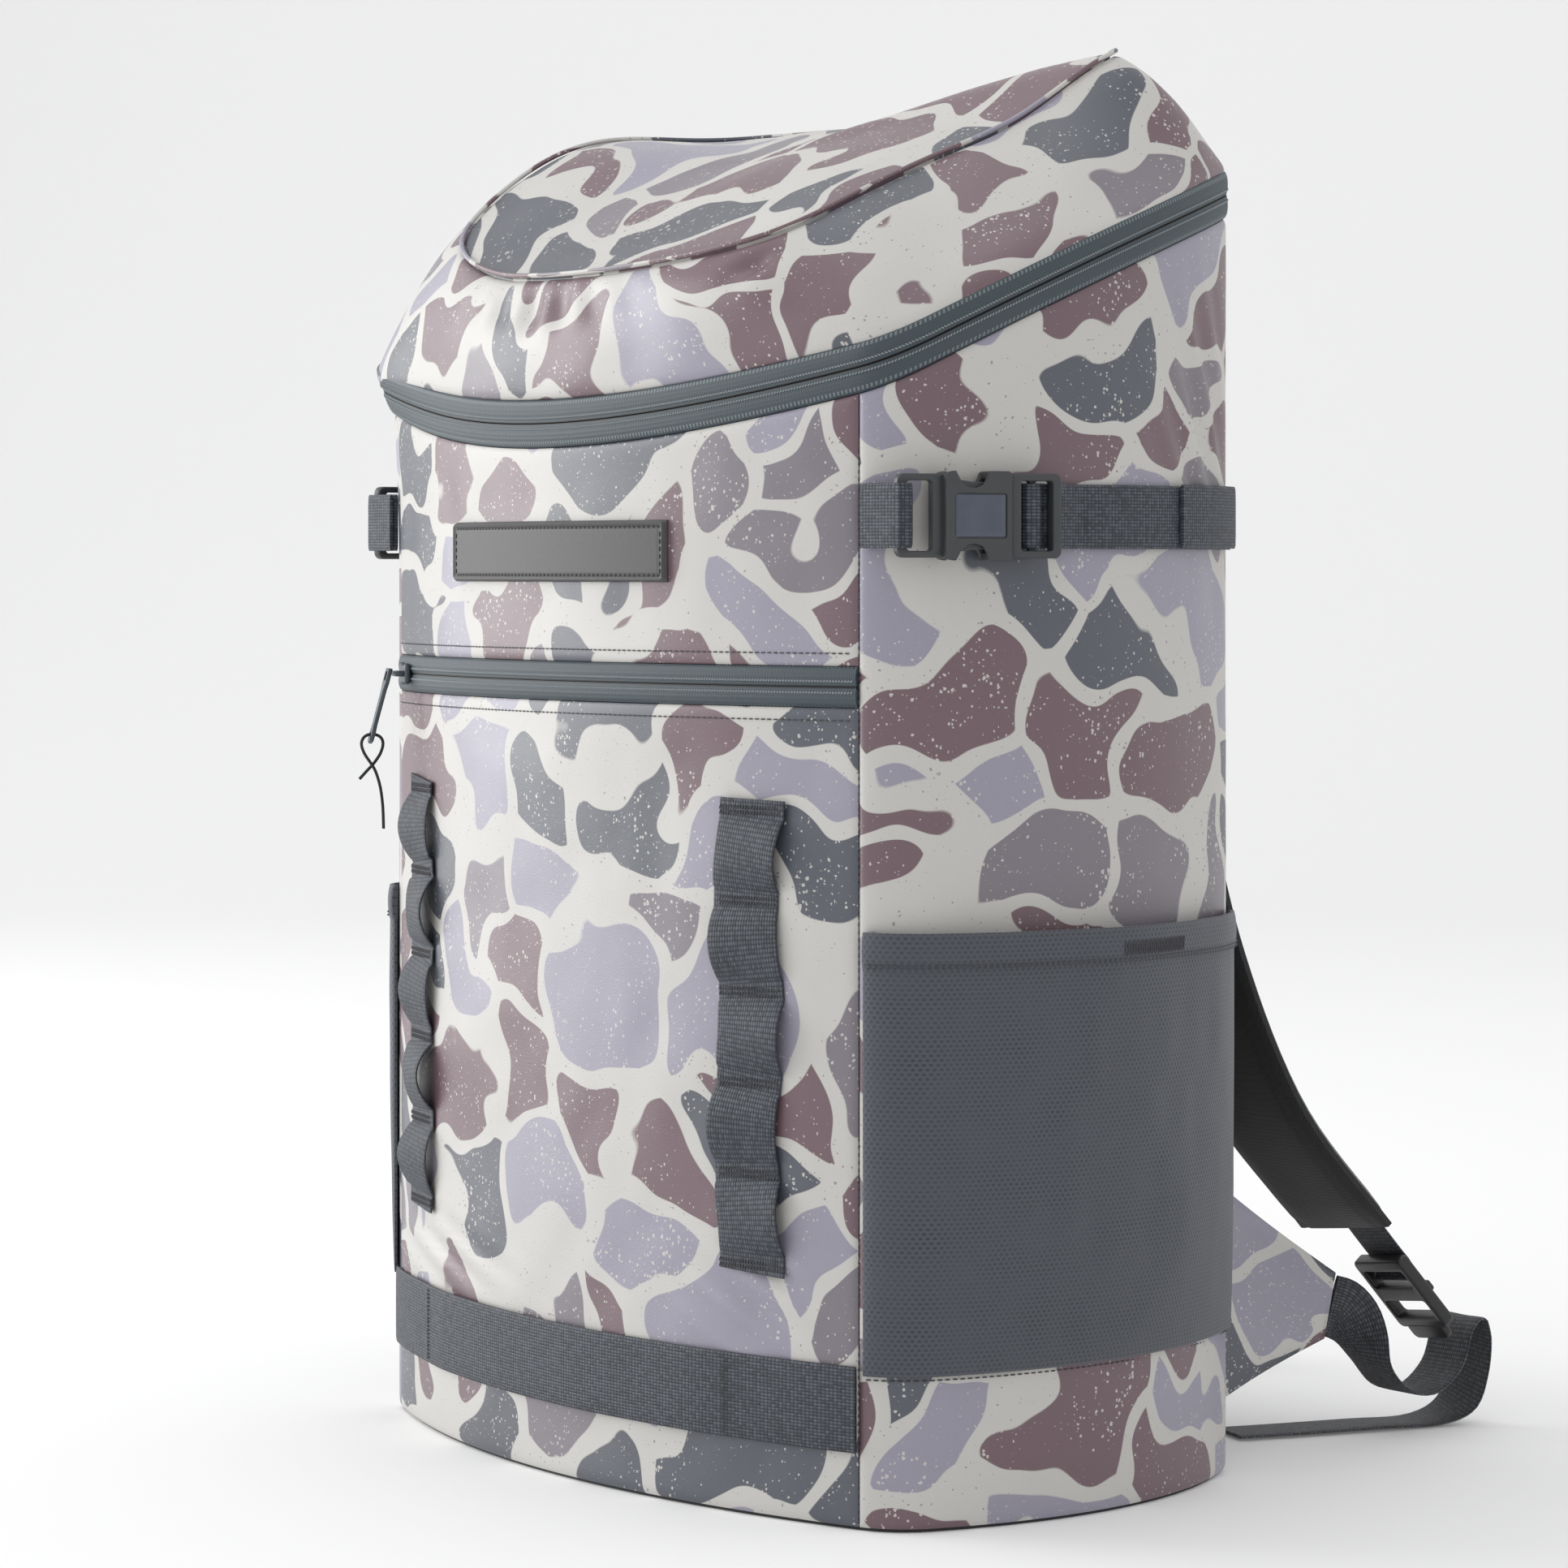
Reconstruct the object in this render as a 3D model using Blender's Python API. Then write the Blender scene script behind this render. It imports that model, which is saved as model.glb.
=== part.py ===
"""Tackle backpack: a D-shaped roll of panels round a lining, under a zipped, slanting lid.

Metres, +Z up, the front faces -Y and the wearer's side +Y. The origin is the middle of the base.
Every wall follows one outline, which is walked by its arc length s from the middle of the front:
s grows towards +X, passes the front seam, the side and the rear corner, and ends mid back.
"""

import math

import bmesh
import bpy
import numpy as np
from mathutils import Matrix, Vector

# Overall body
BODY_WIDTH = 0.382
BODY_DEPTH = 0.228
FRONT_CORNER_INSET = 0.024
FRONT_HALF_WIDTH = BODY_WIDTH / 2 - FRONT_CORNER_INSET
FRONT_BULGE = 0.031
REAR_CORNER_INSET = 0.066
BACK_FLAT_WIDTH = BODY_WIDTH - 2 * REAR_CORNER_INSET
FRONT_CORNER_RADIUS = 0.030
REAR_CORNER_RADIUS = 0.030

# Main zip line, which rises from the front to the back
ZIP_FRONT_HEIGHT = 0.407
ZIP_RISE = 0.0905
ZIP_BOW = 0.45
ZIP_HALF_BAND = 0.0096

# Lid
LID_SEAM_OVER_ZIP = 0.059
LID_SEAM_FRONT_HEIGHT = ZIP_FRONT_HEIGHT + LID_SEAM_OVER_ZIP
LID_SEAM_RISE = 0.066
LID_SEAM_BOW = 0.50
LID_SEAM_WIDTH_SHARE = 0.66
LID_SEAM_DEPTH_SHARE = 0.755
LID_SEAM_CENTRE_Y = -0.018
LID_BAND_PUFF = 0.004
LID_CROWN = 0.006
LID_WALL = 0.003
WELT_SIZE = 0.003
LID_OPEN_DEGREES = 100

# Panels and lining
FABRIC = 0.0025
GAP = 0.0003
TAPE = 0.0012
TAPE_INSET = 0.0006
LINING_INSET = 0.0044
LINING = 0.002
FRONT_POCKET_DEPTH = 0.024
BASE_PLATE = 0.004
HEM_LIFT = 0.0012
SEAM_GAP = 0.0005
REAR_SEAM_PAST_SIDE = 0.0086512
WALL_PAD_INSET = 0.0045
WALL_PAD_HALF_WIDTH = 0.125

# Front furniture
POCKET_ZIP_BAND = 0.0154
POCKET_ZIP_UNDER_ZIP = 0.0918
POCKET_ZIP_HIGH = ZIP_FRONT_HEIGHT - POCKET_ZIP_UNDER_ZIP
POCKET_ZIP_LOW = POCKET_ZIP_HIGH - POCKET_ZIP_BAND
PATCH_HALF_WIDTH = 0.078
PATCH_HEIGHT = 0.0235
PATCH_UNDER_ZIP = 0.0380
PATCH_HIGH = ZIP_FRONT_HEIGHT - PATCH_UNDER_ZIP
PATCH_LOW = PATCH_HIGH - PATCH_HEIGHT
PATCH_THICKNESS = 0.0022
DAISY_FROM_SEAM = 0.0493103
DAISY_WIDTH = 0.032
DAISY_UNDER_POCKET_ZIP = 0.0338
DAISY_TOP = POCKET_ZIP_LOW - DAISY_UNDER_POCKET_ZIP
DAISY_BOTTOM = 0.090
DAISY_TACK = 0.008
DAISY_LOOPS = 5
DAISY_LOOP_RISE = 0.0075
WEBBING = 0.0016
BASE_WEBBING_LOW = 0.0285
BASE_WEBBING_HIGH = 0.0600

# Side pockets
MESH_FROM_SEAM = 0.0071897
MESH_BEFORE_CORNER = 0.0013488
MESH_LOW = 0.060
MESH_HIGH = 0.2185
MESH_BULGE = 0.011
MESH_THICKNESS = 0.0012
HEM_HEIGHT = 0.014

# Compression straps and buckles
STRAP_WIDTH = 0.024
STRAP_UNDER_ZIP = 0.037
STRAP_HEIGHT = ZIP_FRONT_HEIGHT - STRAP_UNDER_ZIP
BUCKLE_FROM_SEAM = 0.0431897
BUCKLE_STAND_OFF = 0.0065
BUCKLE_THICKNESS = 0.0095
RING_FRONT = -0.033
RING_BAR = 0.0040
RING_REAR = -0.0190
STRAP_PLAY = 0.0015
RING_OPENING = STRAP_WIDTH + STRAP_PLAY
RING_RIM = 0.0025
RING_WIDTH = RING_OPENING + 2 * RING_RIM
SOCKET_OVERHANG = 0.0010
BUCKLE_WIDTH = RING_WIDTH + 2 * SOCKET_OVERHANG
RING_THICKNESS = 0.0040
RING_OVERLAP = 0.002
LOOP_REACH = 0.0039
SOCKET_FRONT = -0.0145
SOCKET_REAR = 0.0120
SOCKET_WALL = 0.00315
SOCKET_OPENING = BUCKLE_WIDTH - 2 * SOCKET_WALL
SOCKET_HEIGHT = 0.0056
SOCKET_DEPTH = 0.0225
WINDOW_FRONT = -0.0125
WINDOW_REAR = 0.0005
WINDOW_DEPTH = 0.0062
BADGE_LENGTH = 0.019
BADGE_WIDTH = 0.0150
BADGE_THICKNESS = 0.0013
BADGE_RECESS = 0.0006
CLIP_GAP = 0.0004
CLIP_REAR = 0.0330
CLIP_THICKNESS = 0.0070
CLIP_WINDOW_FRONT = 0.0165
CLIP_WINDOW_REAR = 0.0295
CLIP_BAR_X = 0.0225
CLIP_BAR = 0.0026
CLIP_BAR_TOP = 0.0004
CLIP_TAIL_TOP = -0.0013
CLIP_WINDOW_WIDTH = RING_OPENING
CLIP_SPINE_WIDTH = 0.0085
PRONG_LENGTH = 0.0218
PRONG_WIDTH = 0.0050
PRONG_THICKNESS = 0.0044
PRONG_GAP = 0.0006
STRAP_LANDING = 0.052
STRAP_PAST_SEAM = 0.008

# Zip sliders
SLIDER_LENGTH = 0.0125
SLIDER_WIDTH = 0.0095
SLIDER_THICKNESS = 0.0038
SLIDER_STAND_OFF = 0.0008
BRIDGE_HEIGHT = 0.0030
PULL_LENGTH = 0.0300
PULL_WIDTH = 0.0042
PULL_THICKNESS = 0.0016
PULL_HOLE = 0.0021
PULL_HOLE_SHARE = 0.86
POCKET_SLIDER_FROM_SEAM = 0.0228103
LID_SLIDER_BEFORE_CORNER = 0.0633488
LID_SLIDER_SPACING = 0.022
CORD_DIAMETER = 0.0013

# Wearer's side
HANDLE_HALF_SPAN = 0.050
HANDLE_TAB = 0.012
HANDLE_BOW = 0.0215
HANDLE_LOW = 0.4610
HANDLE_HIGH = 0.4855
BACK_PAD_INNER_X = 0.012
BACK_PAD_OUTER_X = 0.098
BACK_PAD_LOW = 0.060
BACK_PAD_HIGH = 0.405
BACK_PAD_THICKNESS = 0.010
BACK_PAD_BEVEL = 0.004
SHOULDER_PAD_WIDTH = 0.062
SHOULDER_PAD_THICKNESS = 0.010
ANCHOR_THICKNESS = 0.003
ANCHOR_WIDTH = 0.048
HARNESS_WEBBING = 0.025
LOCK_WIDTH = 0.033
LOCK_LENGTH = 0.036
LOCK_THICKNESS = 0.0055
LOCK_SLOT = 0.0085
LOCK_SIDE = 0.0034
LOCK_RUN = 0.020
WING_THICKNESS = 0.003
WING_TOP = 0.112
WING_BOTTOM = 0.022

X_AXIS = Vector((1, 0, 0))
BACK_Y = BODY_DEPTH / 2
FRONT_Y = -BODY_DEPTH / 2

for old in list(bpy.data.objects):
    bpy.data.objects.remove(old)


def paint(name, colour, roughness, metallic=0.0):
    """A plain surface colour."""
    made = bpy.data.materials.new(name)
    made.use_nodes = True
    shader = made.node_tree.nodes["Principled BSDF"]
    shader.inputs["Base Color"].default_value = (*colour, 1)
    shader.inputs["Roughness"].default_value = roughness
    shader.inputs["Metallic"].default_value = metallic
    return made


CAMO = paint("camo_fabric", (0.55, 0.52, 0.48), 0.5)
MESH = paint("mesh_fabric", (0.13, 0.15, 0.18), 0.8)
TAPE_CLOTH = paint("zip_tape", (0.12, 0.16, 0.18), 0.55)
SLATE_WEBBING = paint("slate_webbing", (0.13, 0.14, 0.17), 0.7)
BLACK_CLOTH = paint("black_cloth", (0.02, 0.02, 0.025), 0.8)
GREY_PLASTIC = paint("grey_plastic", (0.14, 0.15, 0.15), 0.45)
BLACK_PLASTIC = paint("black_plastic", (0.02, 0.02, 0.02), 0.4)
BADGE_RESIN = paint("badge_resin", (0.08, 0.10, 0.15), 0.15)
PATCH_RUBBER = paint("patch_rubber", (0.12, 0.12, 0.13), 0.6)
LINING_CLOTH = paint("lining_cloth", (0.25, 0.26, 0.28), 0.7)
PULL_METAL = paint("pull_metal", (0.25, 0.28, 0.31), 0.35, 0.8)
CORD_CLOTH = paint("cord_cloth", (0.03, 0.03, 0.035), 0.7)
BASE_PLASTIC = paint("base_board", (0.06, 0.06, 0.07), 0.6)


# The outline: tangent arcs for the bulging front, the corner, the side and the rear corner


def arc_table():
    """The right half's arcs as (centre, radius, first heading, last heading, pieces).

    A heading turns from 0 at the middle of the front to pi on the back, and the outward normal
    is (sin heading, -cos heading). The side arc's radius is the one that touches both corners.
    """
    front_radius = (FRONT_HALF_WIDTH**2 + FRONT_BULGE**2) / (2 * FRONT_BULGE)
    turn = math.asin(FRONT_HALF_WIDTH / front_radius)
    front_centre = np.array([0, FRONT_Y + front_radius])
    seam = front_centre + front_radius * np.array([math.sin(turn), -math.cos(turn)])
    corner = seam - FRONT_CORNER_RADIUS * np.array([math.sin(turn), -math.cos(turn)])
    rear = np.array([BACK_FLAT_WIDTH / 2, BACK_Y - REAR_CORNER_RADIUS])

    def side(radius):
        sine = (corner[0] + radius - BODY_WIDTH / 2) / (radius - FRONT_CORNER_RADIUS)
        heading = math.asin(sine)
        y = corner[1] + (radius - FRONT_CORNER_RADIUS) * math.cos(heading)
        return np.array([BODY_WIDTH / 2 - radius, y]), heading

    low, high = 0.10, 2.0
    for _ in range(60):
        radius = (low + high) / 2
        centre, heading = side(radius)
        reach = np.linalg.norm(rear - centre) - (radius - REAR_CORNER_RADIUS)
        low, high = (radius, high) if reach > 0 else (low, radius)
    last = math.atan2(rear[0] - centre[0], -(rear[1] - centre[1]))
    return [
        (front_centre, front_radius, 0.0, turn, 9),
        (corner, FRONT_CORNER_RADIUS, turn, heading, 5),
        (centre, radius, heading, last, 11),
        (rear, REAR_CORNER_RADIUS, last, math.pi, 6),
    ]


ARCS = arc_table()
FRONT_RADIUS = ARCS[0][1]
FRONT_SEAM_S = FRONT_RADIUS * ARCS[0][3]
SIDE_END_S = sum(radius * (last - first) for _, radius, first, last, _ in ARCS[:3])
REAR_SEAM_S = SIDE_END_S + REAR_SEAM_PAST_SIDE
DAISY_S = FRONT_SEAM_S - DAISY_FROM_SEAM
MESH_START_S = FRONT_SEAM_S + MESH_FROM_SEAM
MESH_END_S = SIDE_END_S - MESH_BEFORE_CORNER
BUCKLE_S = FRONT_SEAM_S + BUCKLE_FROM_SEAM
STRAP_END_S = REAR_SEAM_S + STRAP_PAST_SEAM
POCKET_SLIDER_S = POCKET_SLIDER_FROM_SEAM - FRONT_SEAM_S
LID_SLIDER_S = LID_SLIDER_BEFORE_CORNER - SIDE_END_S
BACK_PIECES = 3


def half_stations():
    """Centres, radii, headings and arc lengths at the right half's stations, front to back."""
    rows = []
    walked = 0.0
    for centre, radius, first, last, pieces in ARCS:
        for k in range(pieces + (centre is ARCS[-1][0])):
            heading = first + (last - first) * k / pieces
            rows.append((*centre, radius, heading, walked + radius * (heading - first)))
        walked += radius * (last - first)
    for k in range(1, BACK_PIECES + 1):
        x = BACK_FLAT_WIDTH / 2 * (1 - k / BACK_PIECES)
        s = walked + BACK_FLAT_WIDTH / 2 * k / BACK_PIECES
        rows.append((x, BACK_Y - REAR_CORNER_RADIUS, REAR_CORNER_RADIUS, math.pi, s))
    return np.array(rows)


RIGHT = half_stations()
LEFT = RIGHT[1:][::-1].copy()
LEFT[:, [0, 3, 4]] *= -1
STATIONS = np.concatenate([LEFT, RIGHT])
S = STATIONS[:, 4]
RING_STATIONS = STATIONS[:-1]
TOTAL_S = S[-1]


def outline(rows, inset=0.0):
    """The outline's corners at these stations, moved in by inset."""
    reach = rows[:, 2] - inset
    x = rows[:, 0] + reach * np.sin(rows[:, 3])
    y = rows[:, 1] - reach * np.cos(rows[:, 3])
    return np.stack([x, y], 1)


def wall_point(s, inset=0.0):
    """The point of the faceted outline at arc length s."""
    line = outline(STATIONS, inset)
    return np.array([np.interp(s, S, line[:, 0]), np.interp(s, S, line[:, 1])])


def wall_frame(s):
    """Tangent and outward normal of the smooth outline at arc length s."""
    heading = np.interp(s, S, STATIONS[:, 3])
    tangent = Vector((math.cos(heading), math.sin(heading), 0))
    normal = Vector((math.sin(heading), -math.cos(heading), 0))
    return tangent, normal


def zip_height(y):
    """Height of the main zip's teeth at depth y."""
    t = (y - FRONT_Y) / BODY_DEPTH
    return ZIP_FRONT_HEIGHT + ZIP_RISE * (t + ZIP_BOW * t * (1 - t))


def seam_height(y):
    """Height of the lid's top seam at depth y."""
    depth = BODY_DEPTH * LID_SEAM_DEPTH_SHARE
    t = (y - LID_SEAM_CENTRE_Y) / depth + 0.5
    return LID_SEAM_FRONT_HEIGHT + LID_SEAM_RISE * (t + LID_SEAM_BOW * t * (1 - t))


def stations_between(first, last):
    """Stations from first to last, with both ends."""
    inner = S[(S > first + GAP) & (S < last - GAP)]
    return np.concatenate([[first], inner, [last]])


# Mesh builders


def link(name, mesh_maker, material):
    """A new object from a bmesh, with its faces turned outward."""
    bmesh.ops.recalc_face_normals(mesh_maker, faces=mesh_maker.faces)
    data = bpy.data.meshes.new(name)
    mesh_maker.to_mesh(data)
    mesh_maker.free()
    own = material.copy()
    own.name = f"{name}_{material.name}"
    data.materials.append(own)
    made = bpy.data.objects.new(name, data)
    bpy.context.scene.collection.objects.link(made)
    return made


def slab(name, outer, inner, material):
    """A closed sheet between two grids of points of the same shape (rows, columns, 3)."""
    work = bmesh.new()
    rows, columns = outer.shape[:2]
    top = [[work.verts.new(p) for p in row] for row in outer]
    low = [[work.verts.new(p) for p in row] for row in inner]
    for i in range(rows - 1):
        for j in range(columns - 1):
            work.faces.new((top[i][j], top[i + 1][j], top[i + 1][j + 1], top[i][j + 1]))
            work.faces.new((low[i][j], low[i][j + 1], low[i + 1][j + 1], low[i + 1][j]))
    for i in range(rows - 1):
        for j in (0, columns - 1):
            work.faces.new((top[i][j], top[i + 1][j], low[i + 1][j], low[i][j]))
    for j in range(columns - 1):
        for i in (0, rows - 1):
            work.faces.new((top[i][j], top[i][j + 1], low[i][j + 1], low[i][j]))
    return link(name, work, material)


def stack(name, rings, material, closed=False):
    """A body lofted through closed rings of points, capped at both ends unless it closes on itself."""
    work = bmesh.new()
    loops = [[work.verts.new(p) for p in ring] for ring in rings]
    pairs = list(zip(loops, loops[1:]))
    if closed:
        pairs.append((loops[-1], loops[0]))
    else:
        work.faces.new(loops[0])
        work.faces.new(loops[-1])
    for a, b in pairs:
        for k in range(len(a)):
            n = (k + 1) % len(a)
            work.faces.new((a[k], a[n], b[n], b[k]))
    return link(name, work, material)


def wall_strip(name, first, last, low, high, material, inset=0.0, thick=FABRIC):
    """An upright strip of the wall. low and high are heights, or functions of the depth y."""
    at = stations_between(first, last)
    plan = np.array([wall_point(s) for s in at])
    bottom = low(plan[:, 1]) if callable(low) else np.full(len(at), low)
    top = high(plan[:, 1]) if callable(high) else np.full(len(at), high)

    def grid(depth):
        xy = np.array([wall_point(s, depth) for s in at])
        return np.stack([np.c_[xy, bottom], np.c_[xy, top]], 1)

    return slab(name, grid(inset), grid(inset + thick), material)


def level_ring(inset, height):
    """The whole outline at one height, or at a height that is a function of the depth y."""
    xy = outline(RING_STATIONS, inset)
    z = height(outline(RING_STATIONS)[:, 1]) if callable(height) else height
    return np.c_[xy, np.broadcast_to(z, len(xy))]


def smooth_path(points, pieces):
    """Points on a Catmull-Rom curve through these ones."""
    p = np.array(points, float)
    p = np.concatenate([[2 * p[0] - p[1]], p, [2 * p[-1] - p[-2]]])
    made = []
    for k in range(1, len(p) - 2):
        for t in np.arange(pieces) / pieces:
            a = 2 * p[k]
            b = (p[k + 1] - p[k - 1]) * t
            c = (2 * p[k - 1] - 5 * p[k] + 4 * p[k + 1] - p[k + 2]) * t**2
            d = (3 * p[k] - p[k - 1] - 3 * p[k + 1] + p[k + 2]) * t**3
            made.append((a + b + c + d) / 2)
    made.append(p[-2])
    return np.array(made)


def ribbon(name, line, across, width, thick, material):
    """A flat strap along a line of points, with across its width direction at each point."""
    line = np.array(line, float)
    across = np.array(across, float)
    if across.ndim == 1:
        across = np.tile(across, (len(line), 1))
    along = np.gradient(line, axis=0)
    along /= np.linalg.norm(along, axis=1)[:, None]
    across = across - along * (across * along).sum(1)[:, None]
    across /= np.linalg.norm(across, axis=1)[:, None]
    face = np.cross(along, across)
    edge = np.stack([line - across * width / 2, line + across * width / 2], 1)
    lift = (face * thick / 2)[:, None, :]
    return slab(name, edge + lift, edge - lift, material)


def block(name, centre, size, material=None):
    """A box with its own centre and size, in the frame it is later moved to."""
    work = bmesh.new()
    bmesh.ops.create_cube(work, size=1)
    bmesh.ops.scale(work, vec=size, verts=work.verts)
    bmesh.ops.translate(work, vec=centre, verts=work.verts)
    return link(name, work, material or GREY_PLASTIC)


def soften(made, width, segments=2):
    """Rounds the edges of a hard piece."""
    rounding = made.modifiers.new("rounding", "BEVEL")
    rounding.width = width
    rounding.segments = segments
    rounding.limit_method = "ANGLE"
    return made


def cut(made, cutter):
    """Takes a hidden cutter out of a piece."""
    return combine(made, cutter, "DIFFERENCE")


def join(made, more):
    """Adds a hidden solid to a piece."""
    return combine(made, more, "UNION")


def combine(made, other, operation):
    other.hide_render = True
    other.display_type = "WIRE"
    step = made.modifiers.new(other.name, "BOOLEAN")
    step.operation = operation
    step.solver = "EXACT"
    step.object = other
    return other


def wall_matrix(s, height, out):
    """A frame on the wall: its X runs against s, its Y stands out of the wall and its Z is up."""
    tangent, normal = wall_frame(s)
    x, y = wall_point(s)
    place = Vector((x, y, height)) + normal * out
    turn = Matrix((-tangent, normal, Vector((0, 0, 1)))).transposed().to_4x4()
    return Matrix.Translation(place) @ turn


# Body walls: the front is in two panels with the pocket zip between them


def below_zip(y):
    return zip_height(y) - ZIP_HALF_BAND


def above_zip(y):
    return zip_height(y) + ZIP_HALF_BAND


SEAM_FRONT = FRONT_SEAM_S - SEAM_GAP / 2
SEAM_SIDE = FRONT_SEAM_S + SEAM_GAP / 2

wall_strip("front_upper_panel", -SEAM_FRONT, SEAM_FRONT, POCKET_ZIP_HIGH, below_zip, CAMO)
wall_strip("front_pocket_panel", -SEAM_FRONT, SEAM_FRONT, HEM_LIFT, POCKET_ZIP_LOW, CAMO)
wall_strip(
    "pocket_zip_tape",
    -SEAM_FRONT,
    SEAM_FRONT,
    POCKET_ZIP_LOW + GAP,
    POCKET_ZIP_HIGH - GAP,
    TAPE_CLOTH,
    TAPE_INSET,
    TAPE,
)
for side, sign in (("right", 1), ("left", -1)):
    ends = sorted((sign * SEAM_SIDE, sign * REAR_SEAM_S))
    wall_strip(f"side_panel_{side}", *ends, HEM_LIFT, below_zip, CAMO)


def back_strip(name, low, high, material, inset=0.0, thick=FABRIC, start=REAR_SEAM_S):
    """An upright strip round the back, from the left rear seam to the right one."""
    at = stations_between(start + SEAM_GAP, TOTAL_S)
    right = [(s, 1) for s in at]
    left = [(s, -1) for s in at[::-1][1:]]

    def grid(depth):
        columns = []
        for s, mirror in right + left:
            x, y = wall_point(s, depth)
            edge = wall_point(s)[1]
            bottom = low(edge) if callable(low) else low
            top = high(edge) if callable(high) else high
            columns.append([(mirror * x, y, bottom), (mirror * x, y, top)])
        return np.array(columns)

    return slab(name, grid(inset), grid(inset + thick), material)


back_strip("back_panel", HEM_LIFT, below_zip, BLACK_CLOTH)

plate_inset = FABRIC + GAP
stack(
    "base_panel",
    [level_ring(plate_inset, 0), level_ring(plate_inset, BASE_PLATE)],
    BASE_PLASTIC,
)


def lining_ring(inset, height):
    """The lining's ring: the outline, flattened in front to leave room for the front pocket."""
    ring = level_ring(inset, height)
    ring[:, 1] = np.maximum(ring[:, 1], FRONT_Y + FRONT_POCKET_DEPTH + inset - LINING_INSET)
    return ring


def lining_top(y):
    return zip_height(y) - ZIP_HALF_BAND - LINING


lining_floor = BASE_PLATE + GAP
stack(
    "inner_lining",
    [
        lining_ring(LINING_INSET, lining_floor),
        lining_ring(LINING_INSET, lining_top),
        lining_ring(LINING_INSET + LINING, lining_top),
        lining_ring(LINING_INSET + LINING, lining_floor + LINING),
    ],
    LINING_CLOTH,
)

pad_at = stations_between(-WALL_PAD_HALF_WIDTH, WALL_PAD_HALF_WIDTH)
pad_front = np.array([wall_point(s, WALL_PAD_INSET) for s in pad_at])
pad_rear = pad_front.copy()
pad_rear[:, 1] = FRONT_Y + FRONT_POCKET_DEPTH - GAP
pad_low = POCKET_ZIP_HIGH + TAPE
pad_high = below_zip(FRONT_Y) - TAPE
slab(
    "front_wall_pad",
    np.stack([np.c_[pad_front, np.full(len(pad_at), z)] for z in (pad_low, pad_high)], 1),
    np.stack([np.c_[pad_rear, np.full(len(pad_at), z)] for z in (pad_low, pad_high)], 1),
    LINING_CLOTH,
)


# Main zip: the lower tape stays on the body and the upper one opens with the lid


def lower_tape_low(y):
    return below_zip(y) + GAP


def lower_tape_high(y):
    return zip_height(y) - GAP / 2


def upper_tape_low(y):
    return zip_height(y) + GAP / 2


def upper_tape_high(y):
    return above_zip(y) - GAP


wall_strip(
    "main_zip_lower_tape",
    -REAR_SEAM_S,
    REAR_SEAM_S,
    lower_tape_low,
    lower_tape_high,
    TAPE_CLOTH,
    TAPE_INSET,
    TAPE,
)
back_strip("lid_hinge_strip", lower_tape_low, lower_tape_high, TAPE_CLOTH, TAPE_INSET, TAPE)
stack(
    "main_zip_upper_tape",
    [
        level_ring(TAPE_INSET, upper_tape_low),
        level_ring(TAPE_INSET, upper_tape_high),
        level_ring(TAPE_INSET + TAPE, upper_tape_high),
        level_ring(TAPE_INSET + TAPE, upper_tape_low),
    ],
    TAPE_CLOTH,
    closed=True,
)


# Lid: a leaning band, a crowned top and the welt between them


def seam_ring(inset, lift):
    """The lid's top seam, moved in by inset and up by lift."""
    edge = outline(RING_STATIONS) * [LID_SEAM_WIDTH_SHARE, LID_SEAM_DEPTH_SHARE]
    edge[:, 1] += LID_SEAM_CENTRE_Y
    height = seam_height(edge[:, 1]) + lift
    normal = np.stack([np.sin(RING_STATIONS[:, 3]), -np.cos(RING_STATIONS[:, 3])], 1)
    return np.c_[edge - normal * inset, height]


def band_ring(share, inset):
    """The lid's band at a share of its height from the zip to the top seam, moved in by inset."""
    low = level_ring(inset, above_zip)
    high = seam_ring(inset, -WELT_SIZE / 2 - GAP - inset * 0.6)
    puff = LID_BAND_PUFF * math.sin(math.pi * share)
    ring = low + (high - low) * share
    ring[:, 0] += puff * np.sin(RING_STATIONS[:, 3])
    ring[:, 1] -= puff * np.cos(RING_STATIONS[:, 3])
    return ring


BAND_SHARES = (0, 0.33, 0.67, 1)
band_rings = [band_ring(share, 0) for share in BAND_SHARES]
band_rings += [band_ring(share, LID_WALL) for share in BAND_SHARES[::-1]]
stack("lid_band", band_rings, CAMO, closed=True)

half_welt = WELT_SIZE / 2
stack(
    "lid_welt",
    [
        seam_ring(-half_welt, -half_welt),
        seam_ring(-half_welt, half_welt),
        seam_ring(half_welt, half_welt),
        seam_ring(half_welt, -half_welt),
    ],
    CAMO,
    closed=True,
)


def top_ring(share, drop):
    """The lid's top panel at a share of the way from its middle to its edge."""
    edge = seam_ring(half_welt + GAP, 0)
    middle = np.array([0, LID_SEAM_CENTRE_Y])
    xy = middle + (edge[:, :2] - middle) * share
    height = seam_height(xy[:, 1]) + LID_CROWN * (1 - share**2) - drop
    return np.c_[xy, height]


TOP_SHARES = (0.25, 0.6, 1)
top_rings = [top_ring(share, 0) for share in TOP_SHARES]
top_rings += [top_ring(share, half_welt) for share in TOP_SHARES[::-1]]
stack("lid_top_panel", top_rings, CAMO)


# Front patch, base webbing and the two daisy chains

wall_strip(
    "front_patch",
    -PATCH_HALF_WIDTH,
    PATCH_HALF_WIDTH,
    PATCH_LOW,
    PATCH_HIGH,
    PATCH_RUBBER,
    -GAP - PATCH_THICKNESS,
    PATCH_THICKNESS,
)
wall_strip(
    "base_webbing",
    -SEAM_FRONT,
    SEAM_FRONT,
    BASE_WEBBING_LOW,
    BASE_WEBBING_HIGH,
    SLATE_WEBBING,
    -GAP - WEBBING,
    WEBBING,
)


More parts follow.
